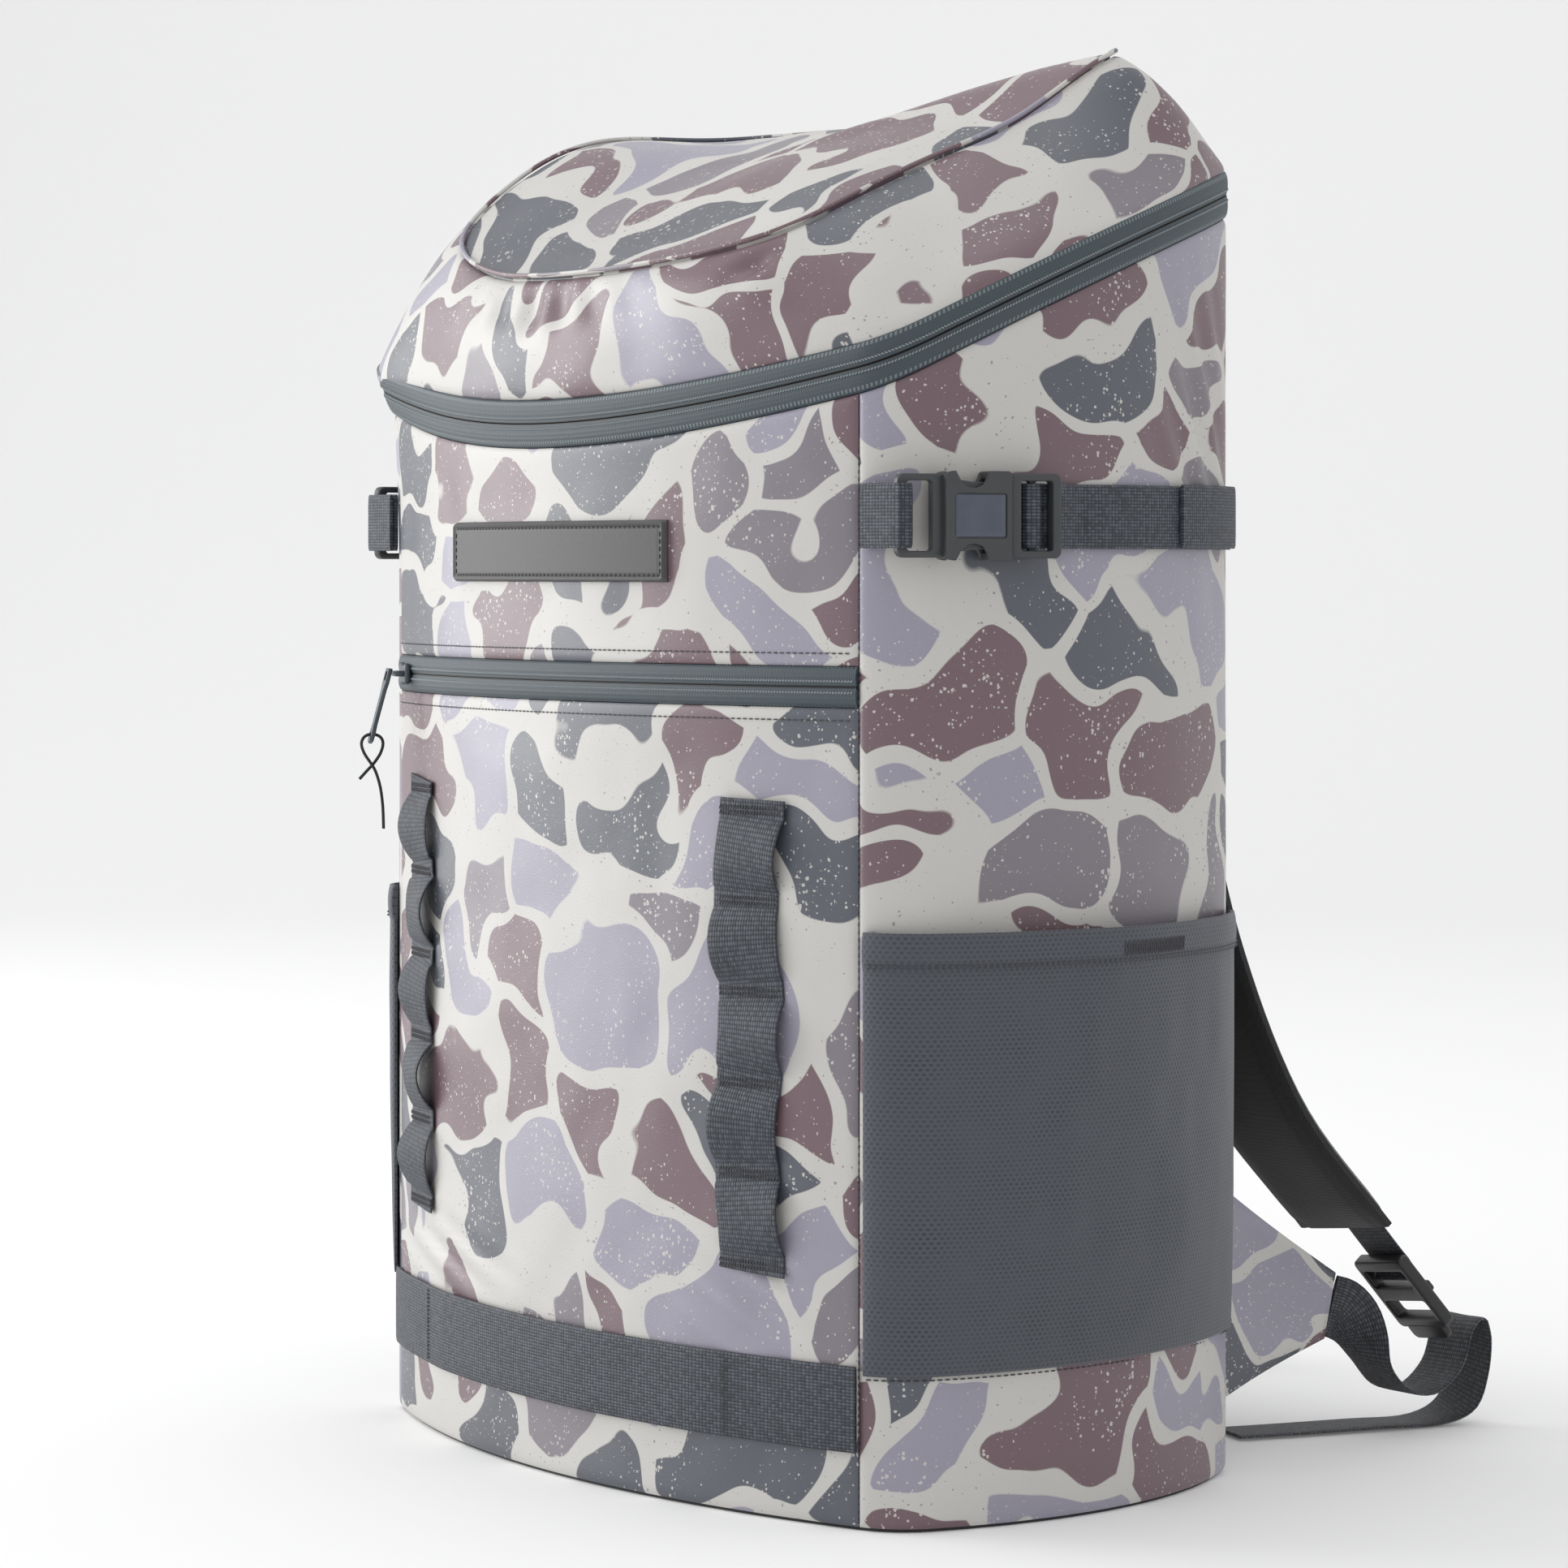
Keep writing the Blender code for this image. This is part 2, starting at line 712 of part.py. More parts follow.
def daisy_profile():
    """Height and stand-off along a daisy chain: flat at each tack and humped between them."""
    pitch = (DAISY_TOP - DAISY_BOTTOM - DAISY_TACK) / DAISY_LOOPS
    pieces = 7
    rows = [(DAISY_BOTTOM, 0.0)]
    for k in range(DAISY_LOOPS):
        start = DAISY_BOTTOM + DAISY_TACK + k * pitch
        free = pitch - DAISY_TACK * (k < DAISY_LOOPS - 1)
        for n in range(pieces + 1):
            rise = DAISY_LOOP_RISE * math.sin(math.pi * n / pieces) ** 2
            rows.append((start + free * n / pieces, rise))
    rows.append((DAISY_TOP, 0.0))
    return rows


for side, sign in (("right", 1), ("left", -1)):
    grids = []
    for depth in (WEBBING, 0.0):
        rows = []
        for z, rise in daisy_profile():
            across = (-DAISY_WIDTH / 2, 0.0, DAISY_WIDTH / 2)
            places = [wall_point(sign * DAISY_S + a, -GAP - rise - depth) for a in across]
            rows.append([(x, y, z) for x, y in places])
        grids.append(np.array(rows))
    slab(f"daisy_chain_{side}", *grids, SLATE_WEBBING)


# Stretch pockets on the sides, open at the top


def pocket_grid(sign, depth, low, high):
    """The pocket cloth at a depth from its inner face; it swells away from its sewn edges."""
    at = stations_between(MESH_START_S, MESH_END_S)
    columns = []
    for s in at:
        swell = math.sin(math.pi * (s - MESH_START_S) / (MESH_END_S - MESH_START_S)) ** 0.6
        column = []
        for z in np.linspace(low, high, 6):
            rise = min(1.0, (z - MESH_LOW) / (4 * HEM_HEIGHT)) ** 0.5
            out = 2 * GAP + MESH_BULGE * swell * rise + depth
            x, y = wall_point(s, -out)
            column.append((sign * x, y, z))
        columns.append(column)
    return np.array(columns)


for side, sign in (("right", 1), ("left", -1)):
    hem_low = MESH_HIGH - HEM_HEIGHT
    slab(
        f"mesh_pocket_{side}",
        pocket_grid(sign, MESH_THICKNESS, MESH_LOW, hem_low - GAP),
        pocket_grid(sign, 0, MESH_LOW, hem_low - GAP),
        MESH,
    )
    slab(
        f"mesh_pocket_hem_{side}",
        pocket_grid(sign, 2 * MESH_THICKNESS, hem_low, MESH_HIGH),
        pocket_grid(sign, -GAP / 2, hem_low, MESH_HIGH),
        MESH,
    )


# Compression straps with side-release buckles. A buckle is made lying along its own X, which
# runs rearward, with its Y out of the bag. The right one is the left one mirrored.


def strap_frame(sign):
    left = wall_matrix(-BUCKLE_S, STRAP_HEIGHT, BUCKLE_STAND_OFF)
    return left if sign < 0 else Matrix.Diagonal((-1, 1, 1, 1)) @ left


def placed(made, matrix):
    """Moves the mesh itself into place and keeps its faces outward under a mirror."""
    made.data.transform(matrix)
    if matrix.determinant() < 0:
        made.data.flip_normals()
    return made


def span_block(name, x, y, z, material=None):
    """A box between its ends in x, y and z."""
    ends = np.array([x, y, z])
    return block(name, ends.mean(1), ends[:, 1] - ends[:, 0], material)


def both(reach):
    return -reach, reach


# The long strap is threaded over the clip's middle bar, leaves under its rear edge, and lies on
# the wall to its end. Each point is (rearward, out) in the buckle's frame
STRAP_THREAD = (
    (0.0189, -0.0045),
    (0.0192, -0.0008),
    (0.0201, 0.0010),
    (0.0214, 0.0017),
    (0.0236, 0.0017),
    (0.0249, 0.0010),
    (0.0259, -0.0010),
    (0.0272, -0.0024),
    (0.0292, -0.0029),
    (0.0335, -0.0036),
)


def rear_strap_line(frame, sign):
    lift = GAP + WEBBING / 2
    thread = [frame @ Vector((x, y, 0)) for x, y in STRAP_THREAD]
    wall = [wall_point(s, -lift) for s in stations_between(BUCKLE_S + STRAP_LANDING, STRAP_END_S)]
    return [tuple(p) for p in thread] + [(sign * x, y, STRAP_HEIGHT) for x, y in wall]


def strap_loop_line(frame, sign):
    """The sewn loop: from the front seam round the ring's bar and back, tangent to its wrap."""
    bar = frame @ Vector((RING_FRONT + RING_BAR / 2, 0, 0))
    centre = np.array([sign * bar.x, bar.y])
    plies = []
    for turn, lift in ((-1, GAP + WEBBING * 2), (1, GAP + WEBBING / 2)):
        foot = wall_point(FRONT_SEAM_S + 2 * RING_OVERLAP, -lift)
        away = foot - centre
        angle = math.atan2(away[1], away[0]) - turn * math.acos(
            LOOP_REACH / np.linalg.norm(away)
        )
        plies.append((foot, angle))
    (outer_foot, first), (inner_foot, last) = plies
    while last < first:
        last += 2 * math.pi
    wrap = [
        centre + LOOP_REACH * np.array([math.cos(a), math.sin(a)])
        for a in np.linspace(first, last, 9)
    ]
    line = [outer_foot, *wrap, inner_foot]
    return [(sign * x, y, STRAP_HEIGHT) for x, y in line]


for side, sign in (("right", 1), ("left", -1)):
    frame = strap_frame(sign)
    half = BUCKLE_WIDTH / 2
    half_thick = BUCKLE_THICKNESS / 2
    through = both(BUCKLE_THICKNESS)
    socket_centre = (SOCKET_FRONT + SOCKET_REAR) / 2

    socket = span_block(
        f"buckle_socket_{side}", (SOCKET_FRONT, SOCKET_REAR), both(half_thick), both(half)
    )
    socket_parts = [
        socket,
        join(
            socket,
            span_block(
                f"ring_stock_{side}",
                (RING_FRONT, SOCKET_FRONT + RING_OVERLAP),
                both(RING_THICKNESS / 2),
                both(RING_WIDTH / 2),
            ),
        ),
        cut(
            socket,
            span_block(
                f"ring_cut_{side}",
                (RING_FRONT + RING_BAR, RING_REAR),
                through,
                both(RING_OPENING / 2),
            ),
        ),
        cut(
            socket,
            span_block(
                f"socket_cut_{side}",
                (SOCKET_REAR - SOCKET_DEPTH, SOCKET_REAR + GAP),
                both(SOCKET_HEIGHT / 2),
                both(SOCKET_OPENING / 2),
            ),
        ),
        cut(
            socket,
            span_block(
                f"badge_cut_{side}",
                (socket_centre - BADGE_LENGTH / 2 - GAP, socket_centre + BADGE_LENGTH / 2 + GAP),
                (half_thick - BADGE_RECESS, half_thick + BADGE_RECESS),
                both(BADGE_WIDTH / 2 + GAP),
            ),
        ),
    ]
    for level, up in (("upper", 1), ("lower", -1)):
        rim = sorted((up * (half - WINDOW_DEPTH), up * (half + GAP)))
        window = span_block(f"window_{level}_{side}", (WINDOW_FRONT, WINDOW_REAR), through, rim)
        socket_parts.append(cut(socket, window))
    badge_low = half_thick - BADGE_RECESS + GAP
    socket_parts.append(
        span_block(
            f"buckle_badge_{side}",
            (socket_centre - BADGE_LENGTH / 2, socket_centre + BADGE_LENGTH / 2),
            (badge_low, badge_low + BADGE_THICKNESS),
            both(BADGE_WIDTH / 2),
            BADGE_RESIN,
        )
    )

    clip_front = SOCKET_REAR + CLIP_GAP
    window_half = CLIP_WINDOW_WIDTH / 2
    clip_half = CLIP_THICKNESS / 2
    bar_front = CLIP_BAR_X - CLIP_BAR / 2
    bar_rear = CLIP_BAR_X + CLIP_BAR / 2
    clip = span_block(
        f"buckle_clip_{side}", (clip_front, CLIP_REAR), both(clip_half), both(RING_WIDTH / 2)
    )
    clip_parts = [
        clip,
        join(
            clip,
            span_block(
                f"clip_spine_{side}",
                (clip_front - PRONG_LENGTH + RING_OVERLAP, clip_front + RING_OVERLAP),
                both(PRONG_THICKNESS / 2),
                both(CLIP_SPINE_WIDTH / 2),
            ),
        ),
    ]
    clip_holes = (
        ("front", (CLIP_WINDOW_FRONT, bar_front), both(CLIP_THICKNESS)),
        ("rear", (bar_rear, CLIP_WINDOW_REAR), both(CLIP_THICKNESS)),
        ("top", (CLIP_WINDOW_FRONT, CLIP_WINDOW_REAR), (CLIP_BAR_TOP, CLIP_THICKNESS)),
        ("tail", (bar_rear, CLIP_REAR + GAP), (-CLIP_THICKNESS, CLIP_TAIL_TOP)),
    )
    for hole, along, depth in clip_holes:
        window = span_block(f"clip_{hole}_{side}", along, depth, both(window_half))
        clip_parts.append(cut(clip, window))
    for piece in socket_parts + clip_parts:
        placed(piece, frame)

    for level, up in (("upper", 1), ("lower", -1)):
        root = up * (SOCKET_OPENING / 2 - PRONG_GAP - PRONG_WIDTH / 2)
        prong = span_block(
            f"buckle_prong_{level}_{side}",
            (-PRONG_LENGTH, -GAP),
            both(PRONG_THICKNESS / 2),
            both(PRONG_WIDTH / 2),
        )
        pivot = frame @ Matrix.Translation((SOCKET_REAR, 0, root))
        origin = pivot.translation
        placed(prong, Matrix.Translation(-origin) @ pivot)
        prong.location = origin

    up_axis = (0, 0, 1)
    loop_line = strap_loop_line(frame, sign)
    ribbon(f"strap_loop_{side}", loop_line, up_axis, STRAP_WIDTH, WEBBING, SLATE_WEBBING)
    strap = rear_strap_line(frame, sign)
    ribbon(f"rear_strap_{side}", strap, up_axis, STRAP_WIDTH, WEBBING, SLATE_WEBBING)


# Zip sliders. Each is made with X along the zip, Y out of the bag and Z up, and its origin or
# its pull's origin lies on the axis that it moves about.


def slider(name, matrix):
    """A slider body with the bridge that holds its pull."""
    body = block(
        name,
        (0, SLIDER_THICKNESS / 2, 0),
        (SLIDER_LENGTH, SLIDER_THICKNESS, SLIDER_WIDTH),
        PULL_METAL,
    )
    bridge_length = SLIDER_LENGTH * 0.7
    bridge = block(
        f"{name}_bridge",
        (0, SLIDER_THICKNESS + BRIDGE_HEIGHT / 2 - GAP, 0),
        (bridge_length, BRIDGE_HEIGHT, PULL_THICKNESS * 1.5),
    )
    join(body, bridge)
    return [placed(piece, matrix) for piece in (body, bridge)]


def pull(name, matrix, lean):
    """A hanging pull: a flat bar with a cord hole, its origin on its hinge axis."""
    work = bmesh.new()
    bmesh.ops.create_cube(work, size=1)
    bmesh.ops.scale(work, vec=(PULL_WIDTH, PULL_THICKNESS, PULL_LENGTH), verts=work.verts)
    bmesh.ops.translate(work, vec=(0, 0, -PULL_LENGTH / 2), verts=work.verts)
    bar = link(name, work, PULL_METAL)
    work = bmesh.new()
    bmesh.ops.create_cone(
        work,
        segments=10,
        radius1=PULL_HOLE / 2,
        radius2=PULL_HOLE / 2,
        depth=3 * PULL_THICKNESS,
        cap_ends=True,
    )
    turn = Matrix.Rotation(math.pi / 2, 4, "X")
    hole_place = Matrix.Translation((0, 0, -PULL_LENGTH * PULL_HOLE_SHARE))
    bmesh.ops.transform(work, matrix=hole_place @ turn, verts=work.verts)
    hole = link(f"{name}_hole", work, PULL_METAL)
    cut(bar, hole)
    stand = SLIDER_THICKNESS + BRIDGE_HEIGHT + PULL_THICKNESS
    place = matrix @ Matrix.Translation((0, stand, 0)) @ Matrix.Rotation(lean, 4, "X")
    bar.matrix_world = place
    hole.matrix_world = place
    return place


def slider_matrix(s, height):
    return wall_matrix(s, height, SLIDER_STAND_OFF)


POCKET_ZIP_HEIGHT = (POCKET_ZIP_LOW + POCKET_ZIP_HIGH) / 2
PULL_LEAN = math.radians(15)
pocket_slider_place = slider_matrix(POCKET_SLIDER_S, POCKET_ZIP_HEIGHT)
slider("pocket_slider", pocket_slider_place)
pocket_pull_place = pull("pocket_pull", pocket_slider_place, PULL_LEAN)

lid_sliders = (("front", LID_SLIDER_S + LID_SLIDER_SPACING), ("rear", LID_SLIDER_S))
for name, s in lid_sliders:
    height = zip_height(wall_point(s)[1])
    step = LID_SLIDER_SPACING / 8
    climb = math.atan2(zip_height(wall_point(s - step)[1]) - height, step)
    tilt = Matrix.Rotation(-climb, 4, "Y")
    place = slider_matrix(s, height)
    slider(f"lid_slider_{name}", place @ tilt)
    pull(f"lid_pull_{name}", place, PULL_LEAN)

# The pocket pull's cord, threaded through the pull's hole. Each point is (along the zip, out of
# the wall, up), from the pull's hole
CORD_ROUTE = (
    (0.0012, 0.0052, -0.0185),
    (0.0010, 0.0020, -0.0150),
    (0.0009, -0.0008, -0.0120),
    (0.0009, -0.0035, -0.0080),
    (0.0008, -0.0046, -0.0040),
    (0.0004, -0.0034, -0.0012),
    (0.0000, 0.0000, 0.0000),
    (-0.0004, 0.0034, -0.0010),
    (-0.0008, 0.0048, -0.0040),
    (-0.0009, 0.0035, -0.0080),
    (-0.0009, 0.0008, -0.0120),
    (-0.0009, -0.0012, -0.0155),
    (-0.0006, -0.0032, -0.0220),
    (-0.0002, -0.0043, -0.0300),
    (0.0002, -0.0047, -0.0390),
)
hole_point = pocket_pull_place @ Vector((0, 0, -PULL_LENGTH * PULL_HOLE_SHARE))
turn = pocket_slider_place.to_3x3()
route = [hole_point + turn @ Vector(p) for p in CORD_ROUTE]
path = smooth_path(route, 3)
cord_data = bpy.data.curves.new("pocket_pull_cord", "CURVE")
cord_data.dimensions = "3D"
cord_data.bevel_depth = CORD_DIAMETER / 2
cord_data.bevel_resolution = 2
cord_data.use_fill_caps = True
spline = cord_data.splines.new("POLY")
spline.points.add(len(path) - 1)
spline.points.foreach_set("co", np.c_[path, np.ones(len(path))].ravel())
cord_data.materials.append(CORD_CLOTH)
cord = bpy.data.objects.new("pocket_pull_cord", cord_data)
bpy.context.scene.collection.objects.link(cord)


# Wearer's side: haul handle, back pads and the two shoulder straps

handle_points = []
for k in range(13):
    share = k / 6 - 1
    x = HANDLE_HALF_SPAN * share
    inside = max(0.0, 1 - abs(x) / (HANDLE_HALF_SPAN - HANDLE_TAB))
    bow = HANDLE_BOW * math.sin(math.pi / 2 * inside)
    handle_points.append((x, BACK_Y + GAP + WEBBING + bow, (HANDLE_LOW + HANDLE_HIGH) / 2))
ribbon(
    "haul_handle",
    handle_points,
    (0, 0, 1),
    HANDLE_HIGH - HANDLE_LOW,
    2 * WEBBING,
    SLATE_WEBBING,
)

for side, sign in (("right", 1), ("left", -1)):
    middle = sign * (BACK_PAD_INNER_X + BACK_PAD_OUTER_X) / 2
    pad = block(
        f"back_pad_{side}",
        (
            middle,
            BACK_Y + GAP + BACK_PAD_THICKNESS / 2,
            (BACK_PAD_LOW + BACK_PAD_HIGH) / 2,
        ),
        (
            BACK_PAD_OUTER_X - BACK_PAD_INNER_X,
            BACK_PAD_THICKNESS,
            BACK_PAD_HIGH - BACK_PAD_LOW,
        ),
        BLACK_CLOTH,
    )
    soften(pad, BACK_PAD_BEVEL, 1)

    # The strap's line hangs off the back and kicks out at its foot
    pad_points = (
        (0.050, 0.1345, 0.4250),
        (0.056, 0.1370, 0.380),
        (0.066, 0.1385, 0.325),
        (0.079, 0.1400, 0.260),
        (0.093, 0.1480, 0.198),
        (0.104, 0.1690, 0.137),
        (0.110, 0.1965, 0.086),
    )
    mirror = np.array([sign, 1, 1])
    line = smooth_path(pad_points, 2) * mirror
    ribbon(
        f"shoulder_pad_{side}",
        line,
        X_AXIS,
        SHOULDER_PAD_WIDTH,
        SHOULDER_PAD_THICKNESS,
        BLACK_CLOTH,
    )

    anchor_points = (
        (0.049, BACK_Y + 0.0026, 0.4560),
        (0.049, 0.1225, 0.4485),
        (0.049, 0.1340, 0.4290),
    )
    anchor = smooth_path(anchor_points, 3) * mirror
    ribbon(f"strap_anchor_{side}", anchor, X_AXIS, ANCHOR_WIDTH, ANCHOR_THICKNESS, SLATE_WEBBING)

    # Webbing on the pad's outer face runs past its foot and dips into the adjuster's first slot
    along = np.gradient(line, axis=0)
    along /= np.linalg.norm(along, axis=1)[:, None]
    across = np.array(X_AXIS) - along * along[:, :1]
    across /= np.linalg.norm(across, axis=1)[:, None]
    face = np.cross(across, along)
    face *= np.sign(face[:, 1:2])
    lift = SHOULDER_PAD_THICKNESS / 2 + 3 * GAP + WEBBING / 2
    foot = line[-1] + face[-1] * lift
    web = [line[k] + face[k] * lift for k in range(-7, -1)]
    for ahead, dip in ((0, 0), (LOCK_RUN, 0), (0.0260, 0), (0.0295, 0.0022), (0.0312, 0.0050)):
        web.append(foot + along[-1] * ahead - face[-1] * dip)
    ribbon(f"pad_webbing_{side}", web, across[-1], HARNESS_WEBBING, WEBBING, SLATE_WEBBING)

    lock_place = (
        foot + along[-1] * LOCK_RUN - face[-1] * (LOCK_THICKNESS / 2 + 2 * GAP + WEBBING / 2)
    )
    axes = Matrix([Vector(across[-1]), Vector(face[-1]), Vector(-along[-1])])
    lock_matrix = Matrix.Translation(Vector(lock_place)) @ axes.transposed().to_4x4()
    lock = block(
        f"ladder_lock_{side}",
        (0, 0, -LOCK_LENGTH / 2),
        (LOCK_WIDTH, LOCK_THICKNESS, LOCK_LENGTH),
        BLACK_PLASTIC,
    )
    lock_parts = [lock]
    for slot, share in (("upper", 0.28), ("lower", 0.72)):
        opening = block(
            f"lock_{slot}_{side}",
            (0, 0, -LOCK_LENGTH * share),
            (LOCK_WIDTH - 2 * LOCK_SIDE, 3 * LOCK_THICKNESS, LOCK_SLOT),
        )
        lock_parts.append(cut(lock, opening))
    for piece in lock_parts:
        placed(piece, lock_matrix)

    # Camo wing from the rear corner; its tip holds the lower strap
    corner_x = BACK_FLAT_WIDTH / 2
    edge_y = BACK_Y + 2 * GAP
    wing_line = np.array(
        [
            [(corner_x, edge_y, WING_BOTTOM), (corner_x, edge_y, WING_TOP)],
            [(0.119, 0.150, 0.0330), (0.119, 0.150, 0.0920)],
            [(0.113, 0.182, 0.0420), (0.113, 0.188, 0.0680)],
        ]
    )
    offset = np.array([WING_THICKNESS / 2, 0, 0])
    wing_faces = [(wing_line + o) * mirror for o in (offset, -offset)]
    slab(f"strap_wing_{side}", *wing_faces, CAMO)

    lower_points = (
        (0.1130, 0.1858, 0.0548),
        (0.1130, 0.1930, 0.0520),
        (0.1128, 0.2010, 0.0420),
        (0.1118, 0.2080, 0.0300),
        (0.1108, 0.2200, 0.0190),
        (0.1100, 0.2350, 0.0170),
        (0.1095, 0.2480, 0.0260),
        (0.1090, 0.2540, 0.0400),
        (0.1080, 0.2610, 0.0440),
        (0.1065, 0.2660, 0.0360),
        (0.1050, 0.2660, 0.0220),
        (0.1020, 0.2620, 0.0080),
        (0.0980, 0.2480, 0.0016),
        (0.0930, 0.2200, 0.0016),
        (0.0860, 0.1850, 0.0016),
        (0.0800, 0.1600, 0.0016),
    )
    widths = [(0.0, 0.225, 0.974), (0.25, 0.5, 0.8), (0.8, 0.3, 0.3)] + [(1.0, 0.0, 0.0)] * 13
    lower_line = smooth_path(lower_points, 3) * mirror
    twist = smooth_path(widths, 3) * mirror
    ribbon(f"lower_strap_{side}", lower_line, twist, HARNESS_WEBBING, WEBBING, SLATE_WEBBING)
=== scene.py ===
"""Looks of the tackle backpack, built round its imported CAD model. Metres, +Z up, front towards -Y."""

import math

import bmesh
import bpy
import numpy as np
from mathutils import Matrix, Vector


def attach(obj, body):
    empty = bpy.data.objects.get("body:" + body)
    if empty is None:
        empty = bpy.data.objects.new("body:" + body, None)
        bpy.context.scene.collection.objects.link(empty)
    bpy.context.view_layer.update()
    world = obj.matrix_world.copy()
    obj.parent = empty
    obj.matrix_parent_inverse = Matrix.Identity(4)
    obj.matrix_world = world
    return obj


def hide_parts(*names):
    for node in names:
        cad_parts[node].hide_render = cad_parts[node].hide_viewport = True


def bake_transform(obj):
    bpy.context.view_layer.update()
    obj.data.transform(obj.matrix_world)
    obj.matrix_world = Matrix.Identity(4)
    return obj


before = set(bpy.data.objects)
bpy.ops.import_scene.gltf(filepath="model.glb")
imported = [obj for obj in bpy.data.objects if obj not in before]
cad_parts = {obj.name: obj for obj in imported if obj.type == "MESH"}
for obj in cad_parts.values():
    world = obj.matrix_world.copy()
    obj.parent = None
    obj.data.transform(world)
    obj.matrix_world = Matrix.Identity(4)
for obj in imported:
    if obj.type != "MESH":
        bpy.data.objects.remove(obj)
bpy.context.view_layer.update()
scene = bpy.context.scene

# Camera: a long lens at the height of the lid, to the bag's front right. It looks level, and the
# frame is shifted down a little to take in the base.
lens = bpy.data.cameras.new("camera")
lens.lens = 120.6
lens.sensor_width = 36
lens.shift_y = -0.1377
lens.clip_end = 30
camera = bpy.data.objects.new("camera", lens)
camera.location = (1.7389, -1.1755, 0.351)
camera.rotation_euler = (math.radians(90), 0, math.radians(56))
scene.collection.objects.link(camera)
scene.camera = camera


# Pull cord: a short thin braided cord, threaded through the hole at the foot of the front pocket's
# pull and crossed over itself. Both ends are bare and hang free.
def smooth_path(points, pieces):
    """Catmull-Rom curve through the points: a cubic on each gap whose slope at a point is half
    the step between that point's neighbours, read at equal steps."""
    p = np.array(points, float)
    p = np.concatenate([2 * p[:1] - p[1:2], p, 2 * p[-1:] - p[-2:-1]])
    a, b, c, d = (p[k : len(p) - 3 + k, None] for k in range(4))
    t = (np.arange(pieces) / pieces)[None, :, None]
    curve = b + (c - a) * t / 2 + (2 * a - 5 * b + 4 * c - d) * t**2 / 2
    curve = curve + (3 * b - a - 3 * c + d) * t**3 / 2
    return np.concatenate([curve.reshape(-1, p.shape[1]), p[-2:-1]])


def feed(tree, node, inputs):
    """Sets a node's inputs, or links them where the value is a socket."""
    for key, value in inputs.items():
        if isinstance(value, bpy.types.NodeSocket):
            tree.links.new(value, node.inputs[key])
        else:
            node.inputs[key].default_value = value


def add(tree, kind, inputs=None, output=0, **settings):
    """Adds a shader node, fills its inputs, and returns one of its outputs."""
    made = tree.nodes.new(kind)
    for key, value in settings.items():
        setattr(made, key, value)
    feed(tree, made, inputs or {})
    return made.outputs[output]


def nodes_of(name, coordinates="Object"):
    """A new material, its node tree, its Principled shader and its texture coordinates."""
    made = bpy.data.materials.new(name)
    made.use_nodes = True
    tree = made.node_tree
    place = add(tree, "ShaderNodeTexCoord", output=coordinates)
    return made, tree, tree.nodes["Principled BSDF"], place


def sums(tree, operation, *values):
    """A Math node on values or sockets."""
    return add(tree, "ShaderNodeMath", dict(enumerate(values)), operation=operation)


def wave(tree, value, length):
    """A sine of a value, one turn in each length."""
    return sums(tree, "SINE", sums(tree, "MULTIPLY", value, 2 * math.pi / length))


def arch(tree, value):
    """Half a sine over each whole step of a value."""
    return sums(tree, "SINE", sums(tree, "MULTIPLY", sums(tree, "FRACT", value), math.pi))


def parts_of(tree, kind, source):
    """The outputs of a node that takes a vector or a colour apart."""
    return add(tree, f"ShaderNodeSeparate{kind}", {0: source}).node.outputs


def noise(tree, place, scale, detail=2.0, output="Fac"):
    """A noise texture, read as a value or as a colour."""
    inputs = {"Vector": place, "Scale": scale, "Detail": detail}
    return add(tree, "ShaderNodeTexNoise", inputs, output)


def ranged(tree, value, low, high, first, last):
    """A value from low to high, moved to first to last and held there."""
    return add(tree, "ShaderNodeMapRange", {0: value, 1: low, 2: high, 3: first, 4: last})


def tinted(tree, share, first, last):
    """A share of the way from one colour to another. A colour is a socket or three numbers."""
    ends = [c if isinstance(c, bpy.types.NodeSocket) else (*c, 1) for c in (first, last)]
    inputs = {0: share, 6: ends[0], 7: ends[1]}
    return add(tree, "ShaderNodeMix", inputs, output=2, data_type="RGBA")


def finish(tree, shader, colour, roughness, height, strength, distance, invert=False):
    """Gives a shader its colour, its roughness and a relief."""
    relief = {"Height": height, "Strength": strength, "Distance": distance}
    bump = add(tree, "ShaderNodeBump", relief, invert=invert)
    feed(tree, shader, {"Base Color": colour, "Roughness": roughness, "Normal": bump})


CORD_HOLE = (-0.150464, -0.105683, 0.282579)
CORD_ALONG = (-0.949844, 0.312723, 0)
CORD_OUT = (-0.312723, -0.949844, 0)
CORD_ROUTE = (
    (0.0012, 0.0052, -0.0185),
    (0.0010, 0.0020, -0.0150),
    (0.0009, -0.0008, -0.0120),
    (0.0009, -0.0035, -0.0080),
    (0.0008, -0.0046, -0.0040),
    (0.0004, -0.0034, -0.0012),
    (0.0000, 0.0000, 0.0000),
    (-0.0004, 0.0034, -0.0010),
    (-0.0008, 0.0048, -0.0040),
    (-0.0009, 0.0035, -0.0080),
    (-0.0009, 0.0008, -0.0120),
    (-0.0009, -0.0012, -0.0155),
    (-0.0006, -0.0032, -0.0220),
    (-0.0002, -0.0043, -0.0300),
    (0.0002, -0.0047, -0.0390),
)
cord_axes = np.array([CORD_ALONG, CORD_OUT, (0, 0, 1)])
cord_path = smooth_path(np.array(CORD_ROUTE) @ cord_axes + CORD_HOLE, 3)
cord_curve = bpy.data.curves.new("pull_cord", "CURVE")
cord_curve.dimensions = "3D"
cord_curve.bevel_depth = 0.00065
cord_curve.bevel_resolution = 3
cord_curve.use_fill_caps = True
cord_line = cord_curve.splines.new("POLY")
cord_line.points.add(len(cord_path) - 1)
cord_line.points.foreach_set("co", np.c_[cord_path, np.ones(len(cord_path))].ravel())
pull_cord = bpy.data.objects.new("pull_cord", cord_curve)
scene.collection.objects.link(pull_cord)
